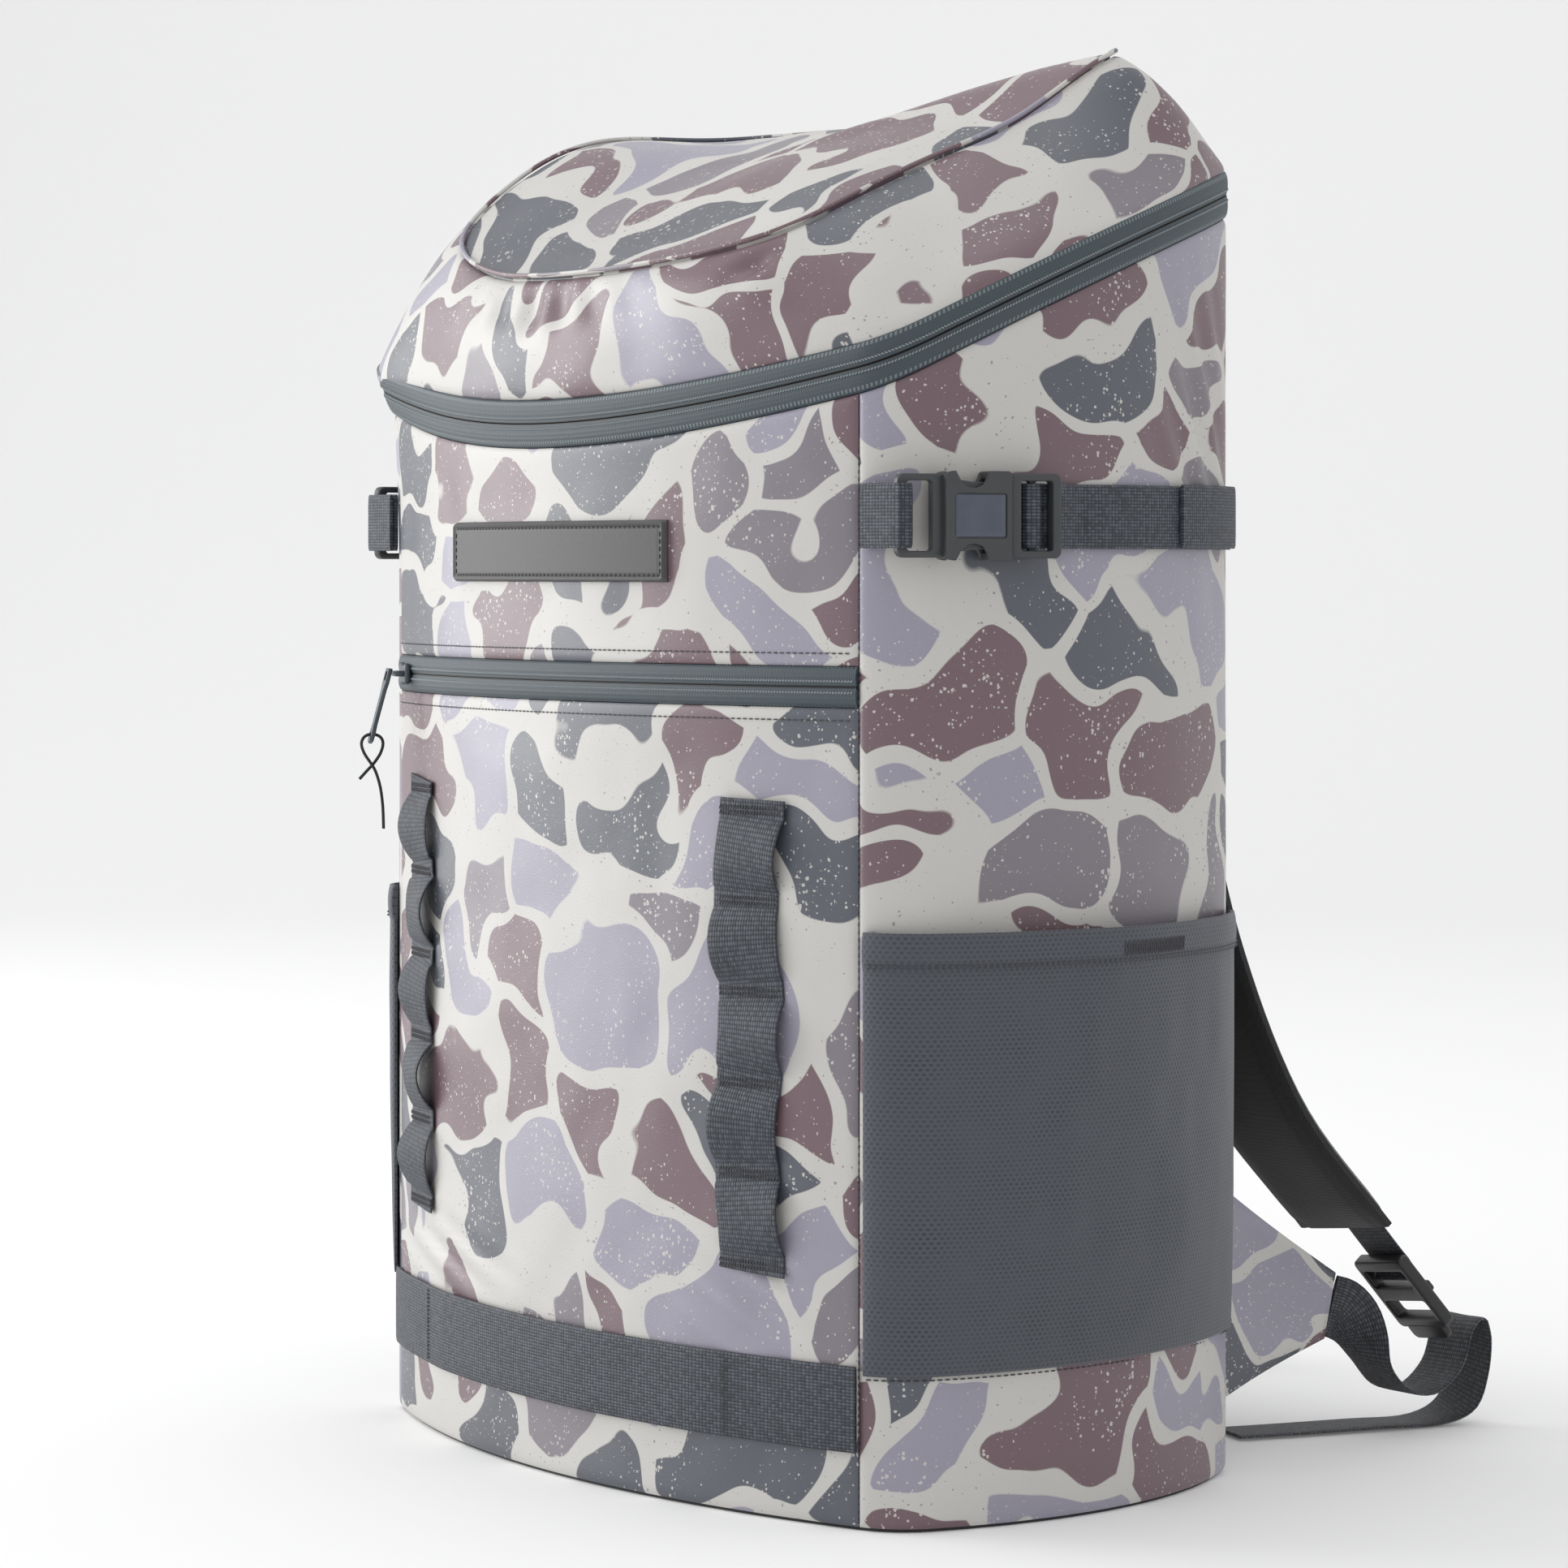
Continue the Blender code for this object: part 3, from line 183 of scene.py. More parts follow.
cord_look, tree, shader, place = nodes_of("braided_cord")
braid = add(tree, "ShaderNodeTexWave", {"Vector": place, "Scale": 420.0, "Distortion": 2.0})
finish(tree, shader, (0.022, 0.023, 0.026, 1), 0.75, braid, 0.4, 0.0003)
cord_curve.materials.append(cord_look)
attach(pull_cord, "pocket_pull")
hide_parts("pocket_pull_cord")

# Walls of the bag: coated cloth with a printed blob camouflage, cut in panels that all follow one
# outline. The outline is walked by its arc length s from the middle of the front.
DEPTH = 0.228
ZIP_FRONT, ZIP_RISE, ZIP_BOW = 0.407, 0.0905, 0.45
PANEL_DROP, LINING_DROP, LID_RISE = 0.0096, 0.0117, 0.0097
FRONT_SEAM = 0.17081
BACK_START = 0.40183
HALF_ROUND = 0.52683
ARC_START = np.array([0, FRONT_SEAM, 0.19954, 0.37535, BACK_START])
ARC_CENTRE = np.array([(0, 0.35132), (0.15623, -0.05500), (0.00283, -0.01646), (0.125, 0.084)])
ARC_RADIUS = np.array([0.46532, 0.030, 0.18817, 0.030])
ARC_HEADING = np.array([0, 0.36708, 1.32467, 2.25898])


def outline(s, out=0.0):
    """Wall point and outward normal at arc length s: on arc k the heading is the arc's first
    heading plus the way walked over its radius, and the point is the centre plus (radius + out)
    times (sin heading, -cos heading). Past the last arc the wall is the flat back."""
    s = np.asarray(s, float)
    s = (s + HALF_ROUND) % (2 * HALF_ROUND) - HALF_ROUND
    walked = np.abs(s)
    k = np.clip(np.searchsorted(ARC_START, walked, side="right") - 1, 0, 3)
    heading = np.minimum(ARC_HEADING[k] + (walked - ARC_START[k]) / ARC_RADIUS[k], math.pi)
    normal = np.stack([np.sin(heading), -np.cos(heading)], -1)
    point = ARC_CENTRE[k] + (ARC_RADIUS[k] + out)[..., None] * normal
    point[..., 0] -= np.maximum(walked - BACK_START, 0)
    side = np.where(s < 0, -1.0, 1.0)
    point[..., 0] *= side
    normal[..., 0] *= side
    return point, normal


def raised(xy, z):
    """Points from their places in plan and their heights."""
    return np.concatenate([xy, z[..., None]], -1)


def zip_line(y):
    """Height of the main zip: a straight rise from front to back, bowed up between."""
    t = (y + DEPTH / 2) / DEPTH
    return ZIP_FRONT + ZIP_RISE * (t + ZIP_BOW * t * (1 - t))


def ripple(u, v, size, seed):
    """Soft random relief from -1 to 1: random heights on a square net of this size, blended
    across each cell by the smooth step 3t^2 - 2t^3."""
    net = np.random.default_rng(seed).uniform(-1, 1, (64, 64))
    u, v = u / size + 20, v / size + 20
    i, j = np.floor(u).astype(int), np.floor(v).astype(int)
    a, b = u - i, v - j
    a, b = a * a * (3 - 2 * a), b * b * (3 - 2 * b)
    i, j = i % 63, j % 63
    low = net[i, j] * (1 - a) + net[i + 1, j] * a
    high = net[i, j + 1] * (1 - a) + net[i + 1, j + 1] * a
    return low * (1 - b) + high * b


def graded(length, step):
    """Places from 0 to 1 along a length, at this step and closer together at both ends."""
    near = np.array([0, 0.0005, 0.0011, 0.0019, 0.0030, 0.0045])
    middle = np.linspace(near[-1], length - near[-1], max(2, int(length / step)))
    return np.concatenate([near[:-1], middle, length - near[:-1][::-1]]) / length


def mesh_piece(name, points, faces, uv, look):
    """One object from points, quads and a UV place for each point, turned to face outwards."""
    points = np.asarray(points, float).reshape(-1, 3)
    faces = np.asarray(faces, int)
    a, b, c, d = (points[faces[:, k]] for k in range(4))
    volume = (a * np.cross(b, c)).sum() + (a * np.cross(c, d)).sum()
    if volume < 0:
        faces = faces[:, ::-1]
    data = bpy.data.meshes.new(name)
    data.vertices.add(len(points))
    data.vertices.foreach_set("co", points.ravel())
    data.loops.add(faces.size)
    data.loops.foreach_set("vertex_index", faces.ravel())
    data.polygons.add(len(faces))
    data.polygons.foreach_set("loop_start", np.arange(len(faces)) * 4)
    data.update(calc_edges=True)
    data.validate()
    layer = data.uv_layers.new(name="cloth")
    corners = np.empty(len(data.loops), int)
    data.loops.foreach_get("vertex_index", corners)
    layer.data.foreach_set("uv", np.asarray(uv, float).reshape(-1, 2)[corners].ravel())
    data.shade_smooth()
    data.set_sharp_from_angle(angle=0.7)
    data.materials.append(look)
    made = bpy.data.objects.new(name, data)
    scene.collection.objects.link(made)
    return made


def shell(name, outer, inner, uv, look, ring=False, back=None):
    """A closed sheet: an outer and an inner skin of one grid, joined round the border. A ring
    also joins its last column to its first, and the inner skin may have its own cloth."""
    n, m = outer.shape[:2]
    index = np.arange(n * m).reshape(n, m)
    rows = np.concatenate([index, index[:1]]) if ring else index
    skin = np.stack([rows[:-1, :-1], rows[1:, :-1], rows[1:, 1:], rows[:-1, 1:]], -1)
    skin = skin.reshape(-1, 4)
    behind = n * m
    faces = [skin, skin[:, ::-1] + behind]
    p, q = rows[:-1, 0], rows[1:, 0]
    faces.append(np.stack([q, p, p + behind, q + behind], -1))
    p, q = rows[:-1, -1], rows[1:, -1]
    faces.append(np.stack([p, q, q + behind, p + behind], -1))
    if not ring:
        p, q = rows[0, :-1], rows[0, 1:]
        faces.append(np.stack([p, q, q + behind, p + behind], -1))
        p, q = rows[-1, :-1], rows[-1, 1:]
        faces.append(np.stack([q, p, p + behind, q + behind], -1))
    points = np.concatenate([outer.reshape(-1, 3), inner.reshape(-1, 3)])
    both_uv = np.concatenate([uv.reshape(-1, 2)] * 2)
    made = mesh_piece(name, points, np.concatenate(faces), both_uv, look)
    if back:
        made.data.materials.append(back)
        cloth = np.zeros(len(made.data.polygons), np.int32)
        cloth[len(skin) : 2 * len(skin)] = 1
        made.data.polygons.foreach_set("material_index", cloth)
    return made


def settle(piece, body, slot, *nodes):
    """Puts a finished piece on its body, in the place of the CAD nodes that it stands for."""
    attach(piece, body)
    if nodes:
        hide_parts(*nodes)
    return piece


def camo_group():
    """Blob camouflage: a Voronoi net bent by two noises. A blob is where both the way to the
    cell's edge and a circle round its seed leave room. The cell's own random number picks its
    dye. Pale specks lie on the blobs, and dark ones on the ground between them."""
    group = bpy.data.node_groups.new("blob_camouflage", "ShaderNodeTree")
    face = group.interface
    face.new_socket("Vector", in_out="INPUT", socket_type="NodeSocketVector")
    face.new_socket("Blob Size", in_out="INPUT", socket_type="NodeSocketFloat")
    face.new_socket("Color", in_out="OUTPUT", socket_type="NodeSocketColor")
    face.new_socket("Blob", in_out="OUTPUT", socket_type="NodeSocketFloat")
    face.new_socket("Grain", in_out="OUTPUT", socket_type="NodeSocketFloat")
    start = group.nodes.new("NodeGroupInput")
    end = group.nodes.new("NodeGroupOutput")
    place, size = start.outputs["Vector"], start.outputs["Blob Size"]
    mix_vector = {"operation": "MULTIPLY_ADD"}
    bent = add(group, "ShaderNodeVectorMath", {0: place, 1: (0.74, 1, 1)}, operation="MULTIPLY")
    for scale, reach in ((17.0, 0.056), (38.0, 0.022)):
        wander = noise(group, place, scale, 0.0, "Color")
        bent = add(
            group, "ShaderNodeVectorMath", {0: wander, 1: (reach,) * 3, 2: bent}, **mix_vector
        )
    cell = {"Vector": bent, "Scale": size, "Randomness": 0.90}
    flat = {"voronoi_dimensions": "2D"}
    edge = add(group, "ShaderNodeTexVoronoi", cell, "Distance", feature="DISTANCE_TO_EDGE", **flat)
    seed = add(group, "ShaderNodeTexVoronoi", cell, "Distance", **flat)
    colour = add(group, "ShaderNodeTexVoronoi", cell, "Color", **flat)
    pick, girth = parts_of(group, "Color", colour)[:2]
    radius = sums(group, "MULTIPLY_ADD", girth, 0.16, 0.56)
    room = sums(group, "MULTIPLY", sums(group, "SUBTRACT", radius, seed), 0.8)
    uneven = noise(group, place, 55.0, 0.0)
    channel = sums(group, "SUBTRACT", edge, sums(group, "MULTIPLY_ADD", uneven, 0.13, 0.070))
    blob = sums(group, "SMOOTH_MIN", room, channel, 0.40)
    blob = sums(group, "ADD", blob, 0.062)
    mask = ranged(group, blob, 0.0, 0.012, 0.0, 1.0)
    mauve, lavender = (0.150, 0.094, 0.110), (0.285, 0.272, 0.335)
    slate, grey = (0.080, 0.088, 0.108), (0.185, 0.165, 0.190)
    ramp = group.nodes.new("ShaderNodeValToRGB")
    ramp.color_ramp.interpolation = "CONSTANT"
    stops = ramp.color_ramp.elements
    stops[0].color = (*mauve, 1)
    stops[1].position = 0.36
    stops[1].color = (*lavender, 1)
    for share, colour in ((0.58, slate), (0.88, grey)):
        stops.new(share).color = (*colour, 1)
    feed(group, ramp, {0: pick})
    dye = ramp.outputs[0]
    thick = ranged(group, noise(group, place, 30.0, 3.0), 0.36, 0.66, 0.18, 0.58)
    rough_place = noise(group, place, 900.0, 1.0, "Color")
    rough_place = add(
        group, "ShaderNodeVectorMath", {0: rough_place, 1: (0.0012,) * 3, 2: place}, **mix_vector
    )
    dots = {"Vector": rough_place, "Scale": 640.0, "Randomness": 1.0}
    near = add(group, "ShaderNodeTexVoronoi", dots, "Distance")
    chance = add(group, "ShaderNodeTexVoronoi", dots, "Color")
    pale_chance, dark_chance = parts_of(group, "Color", chance)[:2]
    rare = sums(group, "POWER", pale_chance, 3.0)
    speck = sums(group, "LESS_THAN", near, sums(group, "MULTIPLY", rare, thick))
    rarer = sums(group, "MULTIPLY", sums(group, "POWER", dark_chance, 6.0), thick)
    fleck = sums(group, "LESS_THAN", near, sums(group, "MULTIPLY", rarer, 0.8))
    shade = noise(group, place, 9.0, 2.0)
    ground = tinted(group, shade, (0.500, 0.486, 0.462), (0.555, 0.540, 0.512))
    ground = tinted(group, sums(group, "MULTIPLY", fleck, 0.75), ground, (0.20, 0.17, 0.17))
    dyed = tinted(group, sums(group, "MULTIPLY", speck, 0.85), dye, (0.56, 0.53, 0.50))
    print_colour = tinted(group, mask, ground, dyed)
    grain = noise(group, place, 1500.0, 1.0)
    feed(group, end, {"Color": print_colour, "Blob": mask, "Grain": grain})
    return group


CAMO = camo_group()


def camo_cloth(name, offset=(0, 0), turn=0.0):
    """Coated camouflage cloth, cut from another place of the same print for each panel."""
    look, tree, shader, place = nodes_of(name, "UV")
    lay = {"Vector": place, "Location": (*offset, 0), "Rotation": (0, 0, turn)}
    cut = add(tree, "ShaderNodeMapping", lay)
    printed = tree.nodes.new("ShaderNodeGroup")
    printed.node_tree = CAMO
    feed(tree, printed, {"Vector": cut, "Blob Size": 24.5})
    dye, blob, grain = printed.outputs
    finish(tree, shader, dye, ranged(tree, blob, 0.0, 1.0, 0.46, 0.38), grain, 0.25, 0.0003)
    shader.inputs["Specular IOR Level"].default_value = 0.6
    return look


def flare(s):
    """The lid overhangs the bag at its left front corner: 11 mm times a bell on arc length,
    195 mm to the left of the middle."""
    return 0.011 * np.exp(-(((s + 0.195) / 0.055) ** 2))


def plain_cloth(name, colour, pitch):
    """Plain woven lining: a small square weave from two crossed sines."""
    look, tree, shader, place = nodes_of(name)
    x, y, z = parts_of(tree, "XYZ", place)
    threads = sums(tree, "MULTIPLY", wave(tree, sums(tree, "ADD", x, y), pitch), wave(tree, z, pitch))
    weave = sums(tree, "MULTIPLY_ADD", threads, 0.5, 0.5)
    tone = tinted(tree, weave, [c * 0.8 for c in colour], colour)
    finish(tree, shader, tone, 0.7, weave, 0.3, 0.0003)
    return look


LINING = plain_cloth("grey_lining_cloth", (0.26, 0.27, 0.29), 0.0016)


CLOTH, DEEPEST, ROLL, ROLL_WIDTH = 0.0021, 0.0040, 0.0011, 0.0013


def wall_panel(name, ends, low, high, relief, look, step=0.003):
    """A wall panel on a grid of arc length and height: it stands out of the outline by its
    relief, which fades over 20 mm from its sewn edges, and rolls in there by ROLL times
    exp(-way to the edge / ROLL_WIDTH). Near the zip it leans out with the lid's overhang."""
    across = ends[0] + (ends[1] - ends[0]) * graded(ends[1] - ends[0], step)
    plan = outline(across)[0]
    bottom = low(plan[:, 1]) if callable(low) else np.full(len(across), low)
    top = high(plan[:, 1]) if callable(high) else np.full(len(across), high)
    share = graded(float((top - bottom).mean()), step)
    s = np.repeat(across[:, None], len(share), 1)
    z = bottom[:, None] + (top - bottom)[:, None] * share
    edge = np.minimum(s - ends[0], ends[1] - s)
    edge = np.minimum(edge, np.minimum(z - bottom[:, None], top[:, None] - z))
    out = relief(s, z) * np.clip(edge / 0.02, 0, 1) - ROLL * np.exp(-edge / ROLL_WIDTH)
    out = out + 0.3 * flare(s) * np.exp((z - zip_line(outline(s)[0][..., 1])) / 0.03)
    outer = outline(s, out)[0]
    inner = outline(s, np.maximum(out - CLOTH, -DEEPEST))[0]
    return shell(name, raised(outer, z), raised(inner, z), np.stack([s, z], -1), look, back=LINING)


def below_zip(y):
    """Top edge of the wall panels, under the main zip's lower tape."""
    return zip_line(y) - PANEL_DROP


def front_relief(s, z):
    """The soft front: a broad swell, and small creases that fan from the base webbing's right."""
    swell = 0.0010 * ripple(s, z, 0.055, 4) + 0.0004 * ripple(s, z, 0.018, 5)
    fan = np.exp(-((s - 0.125) ** 2) / 0.028**2 - ((z - 0.082) ** 2) / 0.020**2)
    crease = 0.0016 * np.sin((s * 0.5 + z * 1.1) * 2 * math.pi / 0.017) * fan
    left = np.exp(-((s + 0.10) ** 2) / 0.05**2 - ((z - 0.075) ** 2) / 0.012**2)
    return swell + crease + 0.0012 * np.sin((s * 0.25 + z) * 2 * math.pi / 0.014) * left


def side_relief(s, z):
    """The side: a broad swell, and a few soft folds high up towards the rear seam."""
    swell = 0.0011 * ripple(s, z, 0.070, 8) + 0.0004 * ripple(s, z, 0.02, 9)
    rear = np.exp(-((np.abs(s) - 0.345) ** 2) / 0.03**2 - ((z - 0.41) ** 2) / 0.04**2)
    return swell + 0.0015 * np.sin((np.abs(s) + 0.6 * z) * 2 * math.pi / 0.022) * rear


front_cloth = camo_cloth("front_camo_cloth", (0.31, 0.12))
upper_cloth = camo_cloth("upper_front_camo_cloth", (0.83, 0.44))
SEAM = FRONT_SEAM - 0.0003
PANEL_FOOT, POCKET_TOP, UPPER_FOOT = 0.0014, 0.2998, 0.3152
SIDES = (("right", 1), ("left", -1))
ends = (-SEAM, SEAM)
piece = wall_panel("front_pocket_cloth", ends, PANEL_FOOT, POCKET_TOP, front_relief, front_cloth)
settle(piece, "pack", "camo_fabric", "front_pocket_panel")
piece = wall_panel("upper_front_cloth", ends, UPPER_FOOT, below_zip, front_relief, upper_cloth)
settle(piece, "pack", "camo_fabric", "front_upper_panel")
for side, sign in SIDES:
    ends = sorted((sign * (FRONT_SEAM + 0.0003), sign * 0.384))
    cloth = camo_cloth(f"{side}_side_camo_cloth", (1.37 + 0.2 * sign, 0.07))
    piece = wall_panel(f"{side}_side_cloth", ends, PANEL_FOOT, below_zip, side_relief, cloth)
    settle(piece, "pack", "camo_fabric", f"side_panel_{side}")

# Back: black spacer cloth on the wearer's side, with two long foam pads. Its panel turns the rear
# corners and meets the sides at their rear seams.


def black_cloth(name, scale=700.0):
    """Black spacer mesh: small round cells in rows, with painted shade in their hollow middles, so a
    little paler on their rims.
    """
    look, tree, shader, place = nodes_of(name)
    cells = {"Vector": place, "Scale": scale, "Randomness": 0.25}
    hole = add(tree, "ShaderNodeTexVoronoi", cells, "Distance")
    # Painted shade: each cell is darker towards its hollow middle.
    tone = tinted(tree, hole, (0.006, 0.006, 0.007), (0.022, 0.023, 0.025))
    finish(tree, shader, tone, 0.85, hole, 0.5, 0.0004)
    feed(tree, shader, {"Sheen Weight": 0.25, "Sheen Roughness": 0.5})
    return look


back_cloth = black_cloth("black_back_cloth")
back_ends = (0.3846, 2 * HALF_ROUND - 0.3846)
piece = wall_panel("back_cloth", back_ends, PANEL_FOOT, below_zip, side_relief, back_cloth, 0.005)
settle(piece, "pack", "back_fabric", "back_panel")


def back_pad_piece(name, sign):
    """A foam pad: a rounded block whose height over the back is its thickness times
    (1 - |u|^6)(1 - |v|^6) raised to 1/3, crossed by sewn channels."""
    u, v = np.meshgrid(np.linspace(-1, 1, 41), np.linspace(-1, 1, 121), indexing="ij")
    rise = ((1 - np.abs(u) ** 6) * (1 - np.abs(v) ** 6)) ** (1 / 3)
    channel = np.exp(-(((v * 4 + 0.5) % 1 - 0.5) ** 2) / 0.0012)
    x = sign * 0.055 + 0.043 * u
    z = 0.2325 + 0.1725 * v
    front = np.full_like(x, 0.1146)
    back = front + 0.0015 + 0.0095 * rise * (1 - 0.45 * channel)
    uv = np.stack([x, z], -1)
    skins = [np.stack([x, y, z], -1) for y in (back, front)]
    return shell(name, *skins, uv, back_cloth)


for side, sign in SIDES:
    pad = back_pad_piece(f"{side}_back_pad", sign)
    settle(pad, "pack", "back_fabric", f"back_pad_{side}")

# Zips: reversed coil zips on woven slate tape, set in folds of the wall. The main one's two tapes
# part when the lid opens. Each tape's inner edge dips to the line where the coils meet.


def tape_look():
    """Zip tape: fine cross ribs, a light comb of ticks by the outer edge, and painted shade along the
    inner edge where the tape dips to the coil line.
    """
    look, tree, shader, place = nodes_of("slate_zip_tape", "UV")
    along, across = parts_of(tree, "XYZ", place)[:2]
    rib = wave(tree, along, 0.0009)
    row = wave(tree, across, 0.0016)
    far = sums(tree, "ABSOLUTE", across)
    comb = sums(tree, "COMPARE", far, 0.0078, 0.0007)
    tick = sums(tree, "GREATER_THAN", wave(tree, along, 0.0018), 0.1)
    tick = sums(tree, "MULTIPLY", tick, comb)
    weave = sums(tree, "MULTIPLY_ADD", sums(tree, "MULTIPLY", rib, row), 0.25, 0.4)
    tone = tinted(tree, weave, (0.026, 0.038, 0.046), (0.066, 0.092, 0.108))
    tone = tinted(tree, sums(tree, "MULTIPLY", tick, 0.5), tone, (0.26, 0.30, 0.31))
    # Painted shade: the inner edge of the tape, where it dips to the coil line, is darkened.
    tone = tinted(tree, sums(tree, "LESS_THAN", far, 0.0006), tone, (0.010, 0.012, 0.014))
    finish(tree, shader, tone, 0.55, sums(tree, "ADD", rib, row), 0.25, 0.0002)
    return look


TAPE = tape_look()
BAND, POCKET_BAND = 0.0094, 0.0075
EDGE = 0.0002
POCKET_ZIP = 0.3075


def tape_strip(name, ends, centre, first, last, ring=False):
    """A half tape between two ways from the zip's line. Its outer edge lies 1.2 mm inside the
    wall. It rises from there by 2 mm in a quarter round, and then falls by 0.3 of that towards
    the coil. The main zip's tapes also lean out with the lid's overhang."""
    count = int((ends[1] - ends[0]) / 0.004)
    across = np.linspace(*ends, count + (not ring), endpoint=not ring)
    t = np.linspace(0, 1, 13)
    s = np.repeat(across[:, None], len(t), 1)
    way = first + (last - first) * np.repeat(t[None], len(across), 0)
    middle = centre(outline(across)[0][:, 1]) if callable(centre) else np.full(len(across), centre)
    z = middle[:, None] + way
    far = np.abs(way) / np.abs(way).max()
    brow = np.sqrt(np.clip(1 - ((far - 0.45) / 0.55) ** 2, 0, 1))
    out = -0.0012 + 0.0020 * np.where(far > 0.45, brow, 1 - 0.3 * ((0.45 - far) / 0.45) ** 2)
    base = np.full_like(out, -0.0022)
    if callable(centre):
        lean_out = flare(s) * (0.65 + 0.35 * way / BAND)
        out, base = out + lean_out, base + lean_out
    skins = [raised(outline(s, o)[0], z) for o in (out, base)]
    return shell(name, *skins, np.stack([s, way], -1), TAPE, ring)


piece = tape_strip("main_zip_lower_cloth", (-0.3845, 0.3845), zip_line, -BAND, -EDGE)
settle(piece, "pack", "zip_tape", "main_zip_lower_tape")
piece = tape_strip("lid_hinge_cloth", (0.3848, 2 * HALF_ROUND - 0.3848), zip_line, -BAND, -EDGE)
settle(piece, "pack", "zip_tape", "lid_hinge_strip")
ends = (-HALF_ROUND, HALF_ROUND)
piece = tape_strip("main_zip_upper_cloth", ends, zip_line, EDGE, BAND, ring=True)
settle(piece, "lid", "zip_tape", "main_zip_upper_tape")
ends = (-SEAM, SEAM)
piece = tape_strip("pocket_zip_lower_cloth", ends, POCKET_ZIP, -POCKET_BAND, -EDGE / 2)
settle(piece, "pack", "zip_tape", "pocket_zip_tape")
piece = tape_strip("pocket_zip_upper_cloth", ends, POCKET_ZIP, EDGE / 2, POCKET_BAND)
settle(piece, "pack", "zip_tape")

# Lid: a leaning band and a crowned top of the same cloth with a piped seam between them. It is
# soft, so its left shoulder stands higher and its right rear corner is pinched up.


def seam_plan(s):
    """Plan of the lid's top seam: in the direction of the wall's point, a box of 252 by 155 mm
    rounded by the eighth power, bulged 17 mm in front and pulled out at the right rear."""
    wall = outline(s)[0]
    angle = np.arctan2(wall[..., 1] / 0.114, wall[..., 0] / 0.191)
    reach = (np.abs(np.cos(angle)) ** 8 + np.abs(np.sin(angle)) ** 8) ** (-1 / 8)
    x, y = 0.126 * reach * np.cos(angle), 0.0775 * reach * np.sin(angle)
    y = y - 0.0095 - 0.017 * (1 - (x / 0.126) ** 2) * np.clip(-y / 0.0775, 0, 1)
    pinch = np.exp(-((angle - 0.80) / 0.22) ** 2)
    return np.stack([x + 0.010 * pinch, y + 0.006 * pinch], -1)


def shoulder(x, y):
    """The lid's lopsided shoulders: a smooth hump on the left and a pinch at the right rear."""
    left = np.clip((-x - 0.04) / 0.085, 0, 1)
    left = left * left * (3 - 2 * left)
    hump = 0.021 * left * np.exp(-(((y + 0.029) / 0.062) ** 2))
    return hump + 0.019 * np.exp(-((x - 0.125) ** 2 + (y - 0.066) ** 2) / 0.034**2)


def seam_height(y):
    """Height of the lid's top seam: a straight rise to the rear, bowed up between."""
    t = (y + 0.104) / 0.172
    return 0.465 + 0.067 * (t + 0.5 * t * (1 - t))


LID_CLOTH = camo_cloth("lid_camo_cloth", (2.21, 0.33))
TOP_CLOTH = camo_cloth("lid_top_camo_cloth", (0.55, 1.62))
around = np.linspace(-HALF_ROUND, HALF_ROUND, 360, endpoint=False)
rise = graded(0.070, 0.0035)
s, t = np.meshgrid(around, rise, indexing="ij")
foot, normal = outline(s, flare(s))
head = seam_plan(s)
foot_z = zip_line(foot[..., 1]) + LID_RISE
head_z = seam_height(head[..., 1]) + shoulder(head[..., 0], head[..., 1]) - 0.0012
slope = np.linalg.norm(head - foot, axis=-1)
slope = np.sqrt(slope**2 + (head_z - foot_z) ** 2)
edge = np.minimum(t, 1 - t) * slope
puff = 0.0050 * np.sin(math.pi * np.clip(t, 0, 1)) ** 0.8
puff = puff + 0.0016 * ripple(s, t * slope, 0.032, 31) * np.clip(edge / 0.012, 0, 1)
dent = np.exp(-(((s + 0.02) / 0.06) ** 2) - ((t - 0.72) / 0.20) ** 2)
puff = puff - 0.0030 * dent + 0.0014 * np.sin(s * 2 * math.pi / 0.030 + 5 * t) * dent
fold = np.exp(-(((s - 0.098 - 0.05 * t) / 0.009) ** 2) - ((t - 0.82) / 0.16) ** 2)
fold = fold * np.clip(edge / 0.012, 0, 1) ** 2
puff = puff - 0.0042 * fold - 0.0010 * np.exp(-edge / 0.0013)
lean = np.clip((head_z - foot_z) / slope, 0.2, 1)
tilt = np.sqrt(1 - lean**2)


def band_skin(depth):
    """The band's points at a depth under its outer face."""
    xy = foot + (head - foot) * t[..., None] + normal * ((puff - depth) * lean)[..., None]
    z = foot_z + (head_z - foot_z) * t + (puff - depth) * tilt
    return raised(xy, z)


skins = [band_skin(depth) for depth in (0, 0.0022)]
uv = np.stack([s, t * slope], -1)
piece = shell("lid_band_cloth", *skins, uv, LID_CLOTH, ring=True, back=LINING)
settle(piece, "lid", "camo_fabric", "lid_band")

spread = np.concatenate([[0.001, 0.02], graded(0.125, 0.004)[4:]])
s, t = np.meshgrid(around, spread, indexing="ij")
rim = seam_plan(s)
middle = np.array([0.0, -0.014])
xy = middle + (rim - middle) * (t * 0.985)[..., None]
lift = shoulder(rim[..., 0], rim[..., 1]) * t**1.5
edge = (1 - t) * 0.11
top = seam_height(xy[..., 1]) + lift + 0.0065 * (1 - t**2)
top = top + 0.0028 * ripple(xy[..., 0], xy[..., 1], 0.040, 40) * np.clip(edge / 0.02, 0, 1)
top = top - 0.0010 * np.exp(-edge / 0.0015)
skins = [raised(xy, top - depth) for depth in (0, 0.002)]
piece = shell("lid_top_cloth", *skins, xy, TOP_CLOTH, ring=True, back=LINING)
hub = bmesh.new()
hub.from_mesh(piece.data)
bmesh.ops.holes_fill(hub, edges=[e for e in hub.edges if e.is_boundary])
hub.to_mesh(piece.data)
hub.free()
settle(piece, "lid", "camo_fabric", "lid_top_panel")


def unit(ways):
    """The same ways with length one."""
    return ways / np.linalg.norm(ways, axis=1)[:, None]


